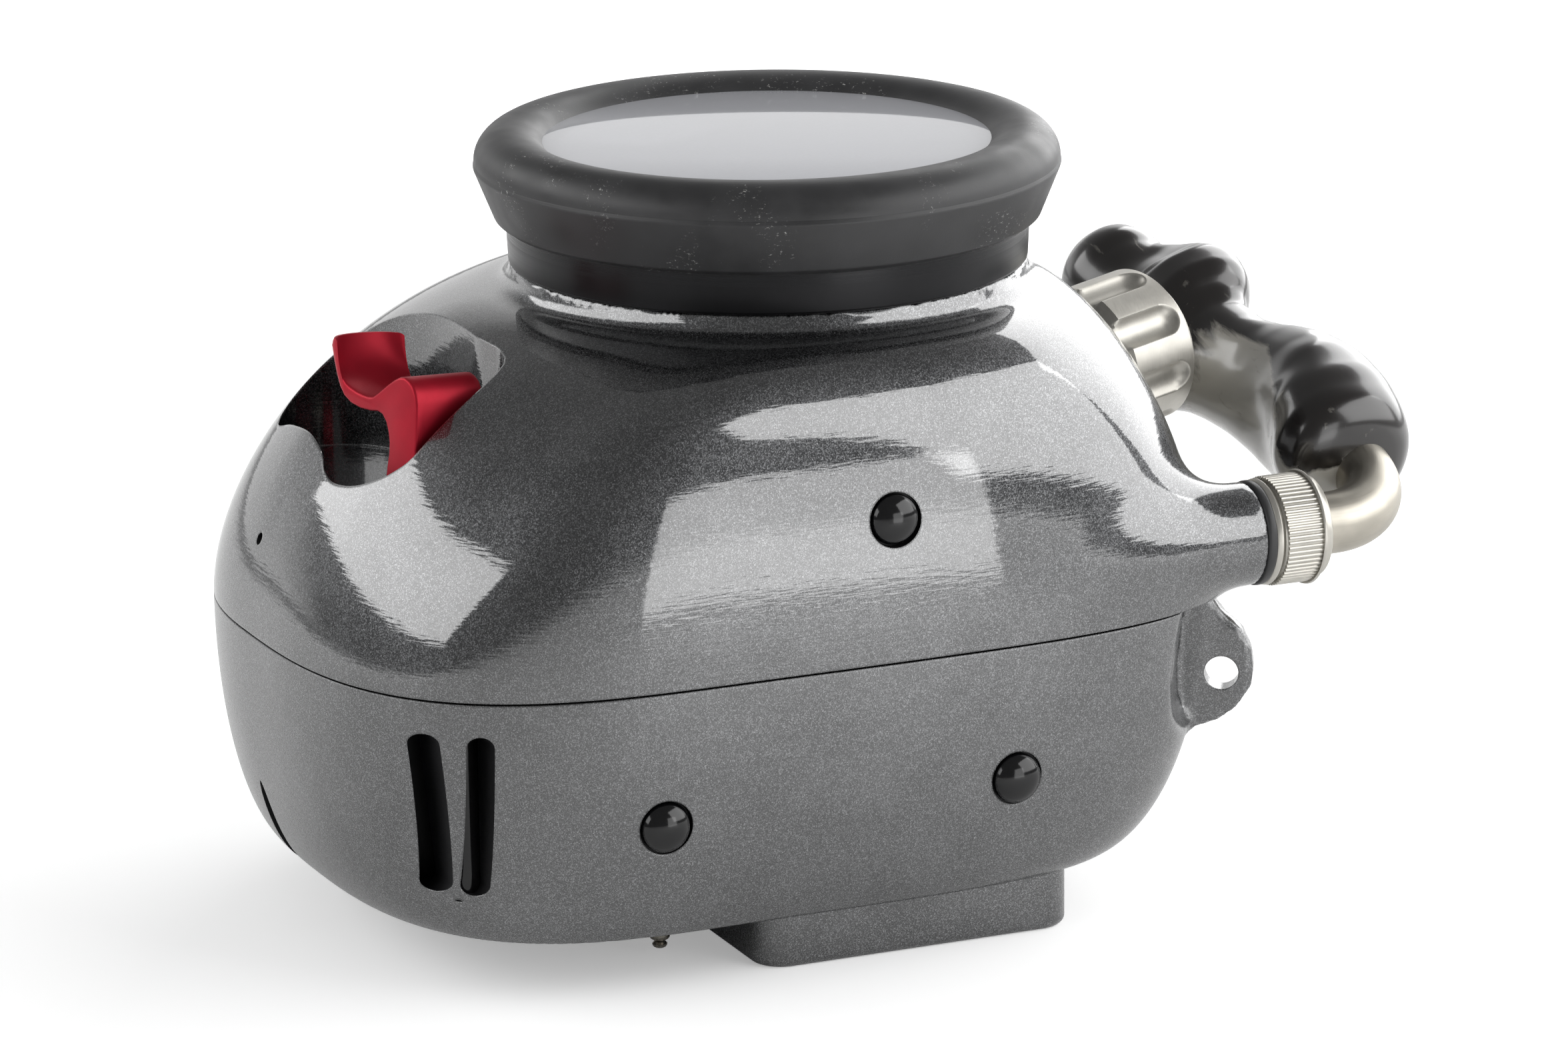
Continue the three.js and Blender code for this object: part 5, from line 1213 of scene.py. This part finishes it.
class HOUSING_OT_knob(bpy.types.Operator):
    """Makes the fluted knob and dresses its shaft, bush and pinion"""
    bl_idname = "housing.knob"
    bl_label = "Fluted knob"

    def execute(self, context):
        c = context.scene.housing_controls
        radius, span = c.knob / MM, c.knob_length / MM
        points, quads, fans = lofted_mesh(self.rings(radius, span, c.flutes))
        ride(new_piece("fluted_knob", placed(points, KNOB_AT @ AXIS_X), list(quads) + list(fans),
                       finish_of("knob_aluminium"), 36), "knob", "silver_aluminium", "control_knob")
        coat_nodes({"knob_shaft": "steel", "knob_bush": "steel", "knob_pinion": "polymer"})
        return {"FINISHED"}

    def rings(self, radius, span, flutes):
        """Rings from the bore's end to the outer face, sunk where the round-ended flutes run."""
        turns = np.linspace(0, 2 * math.pi, 480, endpoint=False)
        cutter, depth, bore, bore_end, chamfer, lip = 5.0, 2.4, 4.3, 16.3, 2.4, 2.2
        middle, last, pitch = radius + cutter - depth, span - 7.7, 2 * math.pi / flutes
        apart = (turns - math.radians(11) + pitch / 2) % pitch - pitch / 2
        levels = [0, 1.2, chamfer, *np.linspace(3.4, last, 10), *np.linspace(last + 0.3, span - lip, 26),
                  span - lip / 2, span]
        rings = [(np.full(len(turns), bore), level) for level in (bore_end, 0)]
        for level in levels:
            hub = min(radius, radius - chamfer + level, radius + span - lip - level)
            width = max(cutter ** 2 - max(level - last, 0) ** 2, 0) - (middle * np.sin(apart)) ** 2
            floor = np.where(width > 0, middle * np.cos(apart) - np.sqrt(np.maximum(width, 0)), 2 * radius)
            rings.append((soft_min(floor, hub, 0.5), level))
        return [np.column_stack([r * np.cos(turns), r * np.sin(turns), np.full(len(turns), level)])
                for r, level in rings]


class HOUSING_OT_handle(bpy.types.Operator):
    """Makes the clamp nut, its seal, the bent tube and the horn grip"""
    bl_idname = "housing.handle"
    bl_label = "Handle"

    def execute(self, context):
        h = context.scene.housing_handle
        seal = filleted([(10.3, 93.3, 0.2), (12.0, 93.3, 0.4), (12.0, 94.8, 0.4), (10.3, 94.8, 0.2)])
        turned_piece("boss_shoulder_ring", seal, 96, "seal_rubber", "front_housing", "rubber", "boss_seal",
                     BOSS_TURN, True)
        self.nut(h, BOSS_TURN)
        path = self.tube_path(h)
        radius, turns = h.tube / MM - 0.02, np.linspace(0, 2 * math.pi, 48, endpoint=False)
        points, faces = swept_mesh(path, [radius] * len(path), len(turns))
        tube = new_piece("bent_grip_tube", points, faces, finish_of("tube_steel"))
        runs = np.concatenate([[0], np.cumsum(np.linalg.norm(np.diff(np.array(path), axis=0), axis=1))])
        straight = [(radius * math.cos(t), radius * math.sin(t), run) for run in runs for t in turns]
        drawn = tube.data.attributes.new("straight", "FLOAT_VECTOR", "POINT")
        straight += [(0, 0, runs[0]), (0, 0, runs[-1])]
        drawn.data.foreach_set("vector", (np.array(straight) * MM).ravel())
        ride(tube, "handle", "steel", "handle_tube")
        ride(self.grip(h), "handle", "horn", "hand_grip")
        return {"FINISHED"}

    def nut(self, h, at):
        radius, low = h.nut / MM, 95.1
        high = low + h.nut_length / MM
        profile = filleted([
            (10.3, low, 0.3), (12.1, low, 0.7), (12.6, low + 1.1, 0.8), (12.6, low + 2.5, 0.2),
            (12.8, low + 2.7, 0), (12.8, high - 2.8, 0), (12.95, high - 2.6, 0.1), (12.95, high - 1.5, 1.6),
            (11.8, high, 0.9), (7.8, high, 0.3), (7.8, 107.3, 0), (10.3, 107.3, 0)])
        points, faces = turned_mesh(profile, 144, True)
        body = raw_mesh("nut_body", placed(points, at), faces)
        tree, ids = ribs_tree(finish_of("nut_aluminium"))
        length_mm, rib = (high - 2.8) - (low + 2.7) - 0.1, 0.46
        ribs = grown_mesh("nut_ribs", tree, ids, {
            "Count": h.ribs, "Radius": (radius - rib) * MM, "Length": length_mm * MM, "Rib Radius": rib * MM})
        middle = Matrix.Translation((0, 0, (low + high - 0.1) / 2))
        ribs.transform(in_metres(at @ middle))
        ride(joined("ribbed_clamp_nut", [body, ribs], finish_of("nut_aluminium")), "nut", "silver_aluminium",
             "clamp_nut")

    def tube_path(self, h):
        rise, bend, start = math.radians(22), h.bend / MM, 115.6

        def point(x, run):
            return (x, -70 + run * math.cos(rise), 89 + run * math.sin(rise))

        path = [point(x, 0) for x in np.linspace(71.4, start, 14)]
        path += [point(start + bend * math.sin(t), bend * (1 - math.cos(t)))
                 for t in np.linspace(0, math.pi / 2, 25)[1:]]
        return path + [point(start + bend, bend + run) for run in np.linspace(0, 19, 8)[1:]]

    def grip(self, h):
        along = (GRIP_END - GRIP_START).normalized()
        up_and_out = Vector((0.69, 0, 0.72))
        one = (up_and_out - along * along.dot(up_and_out)).normalized()
        two = along.cross(one)
        table = np.array(GRIP_STATIONS)
        fine = np.linspace(table[0, 0], table[-1, 0], 170)
        reach = np.stack([smooth_curve(table[:, 0], table[:, k], fine) for k in range(1, 9)], 1)
        turns = np.linspace(0, 2 * math.pi, 96, endpoint=False)
        rings = []
        for station, eight in zip(fine, reach):
            closed = softened([(r, 0) for r in eight], len(turns) // 8)
            centre = GRIP_START + along * station
            scale = h.grip_radius / (STATIONS_RADIUS * MM)
            rings.append([centre + (one * math.cos(t) + two * math.sin(t)) * (r * scale)
                          for t, (r, _) in zip(turns, closed)])
        points, quads, fans = lofted_mesh(rings)
        grip = new_piece("horn_grip", points, list(quads) + list(fans), finish_of("horn"), 60)
        # The carved face is painted pale as a painted reflection of the bright floor and lamp: it lies before
        # a ridge that winds round, and fades at its other sides.
        ridge = np.radians(np.interp(fine, [8, 20, 45], [217, 252, 304]))
        before_ridge = np.clip((ridge[:, None] - turns[None]) / 0.16 + 0.5, 0, 1)
        past_start = np.clip((turns[None] - 2.2) / 0.5, 0, 1)
        pale = (before_ridge * past_start * np.clip((72 - fine[:, None]) / 16, 0, 1)).ravel()
        grip.data.attributes.new("pale", "FLOAT", "POINT").data.foreach_set("value", np.append(pale, [0, 0]))
        return grip


STATIONS_RADIUS = 20.5
GRIP_START, GRIP_END = Vector((132.2, -57, 98.5)), Vector((124, 71, 121))
# Place along the grip, then its reach in eight directions, from up and outward round to up and inward
GRIP_STATIONS = [
    (2.0, 3, 3, 3, 3, 3, 3, 3, 3), (2.7, 8.5, 9, 9.5, 9, 8.5, 9, 9, 8.5),
    (4.2, 12, 13, 13.6, 13.2, 12.6, 13.4, 13.4, 12), (7.5, 15.4, 16.3, 16.6, 16.3, 16, 17.2, 16.9, 15.2),
    (12, 17.6, 17.8, 17.6, 17.2, 17, 18.5, 18, 16.5),
    (20, 19.8, 19, 17.8, 16.8, 16.5, 15.5, 17.5, 18), (30, 20.8, 19.2, 17.4, 16.2, 15.6, 11.8, 14, 18),
    (40, 20.2, 18, 16.4, 15.4, 14.6, 10.2, 11, 15.8), (50, 18, 16.5, 15.2, 14.8, 14.3, 9.8, 9.4, 13.2),
    (58, 15.2, 14.5, 14.2, 14.6, 14.8, 10, 8.6, 11.4), (68, 13.2, 13, 13.3, 14.5, 16.4, 11, 8.6, 10.6),
    (76, 13.2, 12.4, 12.8, 15.5, 19.4, 14.5, 10, 10.6), (81, 15.3, 12.6, 13, 17.3, 21.4, 17.4, 12.4, 12.6),
    (84, 18.3, 14.6, 14.2, 17.8, 21.6, 18.4, 14, 15.2), (88, 20.8, 16.8, 15.6, 17.4, 20.6, 18.2, 15, 17.4),
    (94, 22.1, 18.2, 16, 16.2, 18.6, 16.8, 14.6, 17.4), (101, 20.6, 17.2, 14.4, 14.2, 15.6, 14.4, 12.8, 14),
    (109, 16.4, 14.4, 13, 13, 13.4, 12.6, 11.6, 11.8), (116, 13.2, 13.8, 14.6, 15, 14.8, 14.2, 12.8, 12.4),
    (121.5, 13.4, 15.1, 16.2, 16.6, 16.2, 14.9, 13.8, 13.6),
    (126.5, 12.8, 14.2, 15.4, 15.8, 15.4, 14, 13, 12.8),
    (130.5, 11.2, 12.1, 13.2, 13.6, 13.2, 11.9, 10.8, 10.6), (133.5, 9, 9.4, 10.2, 10.6, 10.2, 9.2, 8.4, 8.2),
    (135.5, 6, 6.2, 6.8, 7, 6.8, 6, 5.6, 5.4), (136.5, 0.5, 0.5, 0.5, 0.5, 0.5, 0.5, 0.5, 0.5)]


def smooth_curve(xs, ys, where):
    """A smooth curve through stations, without overshoot, at each place of where."""
    slopes = np.diff(ys) / np.diff(xs)
    before, after = slopes[:-1], slopes[1:]
    middle = np.where(before * after > 0, 2 * before * after / (before + after + 1e-12), 0)
    tangents = np.concatenate([[slopes[0]], middle, [slopes[-1]]])
    i = np.clip(np.searchsorted(xs, where) - 1, 0, len(xs) - 2)
    span = xs[i + 1] - xs[i]
    t = (where - xs[i]) / span
    return ((2 * t ** 3 - 3 * t ** 2 + 1) * ys[i] + (t ** 3 - 2 * t ** 2 + t) * span * tangents[i]
            + (-2 * t ** 3 + 3 * t ** 2) * ys[i + 1] + (t ** 3 - t ** 2) * span * tangents[i + 1])


class HOUSING_OT_feet(bpy.types.Operator):
    """Makes the three domed feet"""
    bl_idname = "housing.feet"
    bl_label = "Feet"

    def execute(self, context):
        radius, rise = context.scene.housing_controls.foot / MM, 4.6
        turns = np.linspace(0, math.pi / 2, 16)
        dome = [(radius * math.cos(t), 1.0 + (rise - 1.0) * math.sin(t)) for t in turns]
        dome[-1] = (0, rise)
        profile = [(0, -3), (2, -3), (2, 0.3), (radius - 0.3, 0.3), (radius, 0.6)] + dome
        feet = [("foot_front", FRONT_FOOT, "front_housing")]
        feet += [(node, place, "rear_housing") for node, place in REAR_FEET.items()]
        for node, (x, z), body in feet:
            at = Matrix.Translation((x, FOOT_PLANE, z)) @ Matrix.Rotation(math.pi / 2, 4, "X")
            turned_piece(node.replace("foot", "domed_foot"), profile, 64, "foot_rubber", body, "foot_rubber",
                         node, at)
        return {"FINISHED"}


class HOUSING_OT_seals(bpy.types.Operator):
    """Lays the main O-ring along the parting groove"""
    bl_idname = "housing.seals"
    bl_label = "Seals"

    def execute(self, context):
        inset, height, cord = 4.7, 73.3, 1.28
        path = outline(inset, count=240)[1]
        ring = np.column_stack([path, np.full(len(path), height)])
        source = bpy.data.meshes.new("seal_path")
        source.from_pydata((ring * MM).tolist(), [(i, (i + 1) % len(ring)) for i in range(len(ring))], [])
        tree, ids = cord_tree(finish_of("seal_rubber"))
        mesh = grown_mesh("main_o_ring", tree, ids, {"Cord Radius": cord * MM}, source)
        seal = finish_mesh("main_o_ring", mesh, finish_of("seal_rubber"))
        ride(seal, "rear_housing", "rubber", "main_seal")
        return {"FINISHED"}


class HOUSING_OT_buttons(bpy.types.Operator):
    """Makes the stepped button pins, their glands and return springs"""
    bl_idname = "housing.buttons"
    bl_label = "Push buttons"

    def execute(self, context):
        pin = filleted([(0, 2.4, 0), (1.2, 2.4, 0.4), (1.2, 4.5, 0.1), (1.75, 4.5, 0.3), (1.75, 23.1, 0.1),
                        (3.9, 23.1, 0.2), (3.9, 24.7, 0.2), (1.75, 24.7, 0.1), (1.75, 38, 0.4), (0, 38, 0)])
        seat = 32
        gland = filleted([(4.2, 22.8, 0.1), (5.5, 22.8, 0.3), (5.5, 34, 0.4), (2.05, 34, 0.1),
                          (2.05, seat, 0.1), (4.2, seat, 0.1)])
        tree, ids = wound_wire_tree(finish_of("spring_steel"))
        for i, (x, y) in enumerate(BUTTONS, 1):
            at = Matrix.Translation((x, y, 0))
            turned_piece(f"stepped_button_{i}", pin, 32, "steel", f"button_{i}", "steel", f"button_pin_{i}",
                         at)
            turned_piece(f"gland_{i}", gland, 40, "steel", "rear_housing", "steel", f"button_gland_{i}",
                         at, True)
            mesh = grown_mesh(f"return_spring_{i}", tree, ids, {
                "Turns": 3.0, "Coil Radius": 3.0 * MM, "Height": 5.8 * MM, "Wire Radius": 0.38 * MM})
            mesh.transform(Matrix.Translation(Vector((x, y, 25.45)) * MM))
            spring = finish_mesh(f"return_spring_{i}", mesh, finish_of("spring_steel"))
            ride(spring, "rear_housing", "steel", f"button_spring_{i}")
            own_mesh(spring)
        return {"FINISHED"}


class HOUSING_OT_inside(bpy.types.Operator):
    """Makes the closure screws, and dresses the camera tray and the two windows"""
    bl_idname = "housing.inside"
    bl_label = "Screws, tray and windows"

    def execute(self, context):
        screw = filleted([(0, 19.1, 0), (1.9, 19.1, 0.1), (1.9, 16.5, 0.15), (4.2, 16.5, 0.7),
                          (4.2, 21.5, 0.3), (2.5, 21.5, 0.2), (2.5, 86.2, 0.3), (1.9, 87, 0.1), (0, 87, 0)])
        for i, (x, y) in enumerate(SCREWS, 1):
            turned_piece(f"socket_screw_{i}", screw, 48, "steel", "rear_housing", "steel",
                         f"closure_screw_{i}", Matrix.Translation((x, y, 0)))
        coat_nodes({"camera_tray": "black_anodised", "tray_screw": "steel", "tray_bolt_left": "steel",
                    "tray_bolt_right": "steel", "screen_window": "window", "eyepiece_window": "window"})
        return {"FINISHED"}


class HOUSING_OT_stage(bpy.types.Operator):
    """Makes the studio: floor, lamps, sky and camera"""
    bl_idname = "housing.stage"
    bl_label = "Studio"

    def execute(self, context):
        self.floor(context.scene.housing_finishes.floor)
        self.lamps()
        self.sky()
        self.camera()
        context.scene.view_settings.view_transform = "Standard"
        return {"FINISHED"}

    def floor(self, tone):
        mesh = bpy.data.meshes.new("studio_floor")
        edge = 6.0
        corners = [(-edge, -edge, 0), (edge, -edge, 0), (edge, edge, 0), (-edge, edge, 0)]
        mesh.from_pydata(corners, [], [(0, 1, 2, 3)])
        material, tree, shader, where = finish_named("painted_studio_floor")
        tree.nodes.remove(shader)
        seen = add(tree, "ShaderNodeLightPath")
        shade = add(tree, "ShaderNodeMix", {"data_type": "RGBA", 6: list(tone), 7: toned(tone, 0.99)},
                    {0: clouds(tree, where, (300,) * 3)})
        flat = add(tree, "ShaderNodeBsdfDiffuse", links={"Color": shade.outputs[2]})
        lift = add(tree, "ShaderNodeMath", {"operation": "MULTIPLY", 1: 0.32},
                   {0: seen.outputs["Is Camera Ray"]})
        glow = add(tree, "ShaderNodeEmission", {"Color": (1, 1, 1, 1)}, {"Strength": lift.outputs[0]})
        both = add(tree, "ShaderNodeAddShader", links={0: flat.outputs[0], 1: glow.outputs[0]})
        output = [n for n in tree.nodes if n.type == "OUTPUT_MATERIAL"][0]
        tree.links.new(both.outputs[0], output.inputs["Surface"])
        mesh.materials.append(material)
        floor = bpy.data.objects.new("studio_floor", mesh)
        bpy.context.scene.collection.objects.link(floor)

    def lamps(self):
        middle = Vector((0, 0, 0.09))
        for name, reach, bearing_deg, low_deg, high_deg, width, roll_deg, radiance in (
                ("right_front_softbox", 1.3, -35, 3, 41, 1.65, 0, 3.0),
                ("right_back_softbox", 1.3, 29, 0, 38, 1.5, 0, 3.0),
                ("low_front_softbox", 0.46, -76, -10, 12, 0.19, 0, 2.2),
                ("left_softbox", 1.3, 161, 15, 38, 2.6, -5, 2.8)):
            bearing = math.radians(bearing_deg)
            low, high = reach * math.tan(math.radians(low_deg)), reach * math.tan(math.radians(high_deg))
            lamp = bpy.data.lights.new(name, "AREA")
            lamp.shape = "RECTANGLE"
            lamp.size, lamp.size_y = width, high - low
            lamp.energy = math.pi * lamp.size * lamp.size_y * radiance
            obj = bpy.data.objects.new(name, lamp)
            side = Vector((reach * math.cos(bearing), reach * math.sin(bearing), (low + high) / 2))
            obj.location = middle + side
            facing = (middle - obj.location).to_track_quat("-Z", "Y")
            obj.rotation_euler = (facing @ Quaternion((0, 0, 1), math.radians(roll_deg))).to_euler()
            obj.visible_camera = False
            bpy.context.scene.collection.objects.link(obj)

    def sky(self):
        """Camera rays see white, and polished surfaces a dark studio with a white backdrop low behind."""
        world = bpy.data.worlds.new("studio_sky")
        bpy.context.scene.world = world
        world.use_nodes = True
        tree = world.node_tree
        tree.nodes.clear()
        way = add(tree, "ShaderNodeTexCoord").outputs["Generated"]
        backdrop = (0.40, 0.917, -1.2)
        behind = add(tree, "ShaderNodeVectorMath", {"operation": "DOT_PRODUCT", 1: backdrop}, {0: way})
        dark, white = 0.2, 1.0
        room = add(tree, "ShaderNodeMapRange",
                   {"From Min": 0.3, "From Max": 0.62, "To Min": dark, "To Max": white},
                   {"Value": behind.outputs["Value"]}).outputs[0]
        path = add(tree, "ShaderNodeLightPath")
        fill, level = 0.32, room
        for ray, strength in (("Is Diffuse Ray", fill), ("Is Camera Ray", 1.0)):
            level = add(tree, "ShaderNodeMix", {"data_type": "FLOAT", 3: strength},
                        {0: path.outputs[ray], 2: level}).outputs[0]
        sky = add(tree, "ShaderNodeBackground", {"Color": (1, 1, 1, 1)}, {"Strength": level})
        add(tree, "ShaderNodeOutputWorld", links={"Surface": sky.outputs[0]})

    def camera(self):
        pitch, turn, roll = 0.267168, 0.411093, -0.010144
        place = Vector((-0.7106, -1.6380, 0.5741))
        picture_width, focal_length = 2352, 11500
        right = Vector((math.cos(turn), -math.sin(turn), 0))
        ahead = Vector((math.sin(turn) * math.cos(pitch), math.cos(turn) * math.cos(pitch), -math.sin(pitch)))
        up = right.cross(ahead)
        across = right * math.cos(roll) + up * math.sin(roll)
        above = up * math.cos(roll) - right * math.sin(roll)
        camera = bpy.data.cameras.new("camera")
        camera.sensor_width = 36.0
        camera.lens = camera.sensor_width * focal_length / picture_width
        obj = bpy.data.objects.new("camera", camera)
        basis = Matrix((across, above, -ahead)).transposed().to_4x4()
        obj.matrix_world = Matrix.Translation(place) @ basis
        bpy.context.scene.collection.objects.link(obj)
        bpy.context.scene.camera = obj


class HOUSING_PT_panel(bpy.types.Panel):
    """Lists the housing's pieces"""
    bl_idname = "HOUSING_PT_panel"
    bl_label = "Underwater Housing"
    bl_space_type = "VIEW_3D"
    bl_region_type = "UI"
    bl_category = "Housing"

    def draw(self, context):
        for name in GROUPS:
            box, group = self.layout.box(), getattr(context.scene, name)
            for key in group.__annotations__:
                box.prop(group, key)
        for operator in OPERATORS:
            self.layout.operator(operator.bl_idname)


GROUPS = {"housing_castings": CastingSizes, "housing_port": PortSizes, "housing_controls": ControlSizes,
          "housing_handle": HandleSizes, "housing_finishes": Finishes}
OPERATORS = (HOUSING_OT_front, HOUSING_OT_rear, HOUSING_OT_port, HOUSING_OT_lever, HOUSING_OT_knob,
             HOUSING_OT_handle, HOUSING_OT_feet, HOUSING_OT_seals, HOUSING_OT_buttons, HOUSING_OT_inside,
             HOUSING_OT_stage)


def register():
    for group in GROUPS.values():
        bpy.utils.register_class(group)
    for operator in OPERATORS:
        bpy.utils.register_class(operator)
    bpy.utils.register_class(HOUSING_PT_panel)
    for key, group in GROUPS.items():
        setattr(bpy.types.Scene, key, PointerProperty(type=group))


def unregister():
    for key in GROUPS:
        delattr(bpy.types.Scene, key)
    bpy.utils.unregister_class(HOUSING_PT_panel)
    for kind in (*reversed(OPERATORS), *GROUPS.values()):
        bpy.utils.unregister_class(kind)


def main():
    register()
    for operator in OPERATORS:
        group, name = operator.bl_idname.split(".")
        getattr(getattr(bpy.ops, group), name)()


if __name__ == "__main__":
    main()
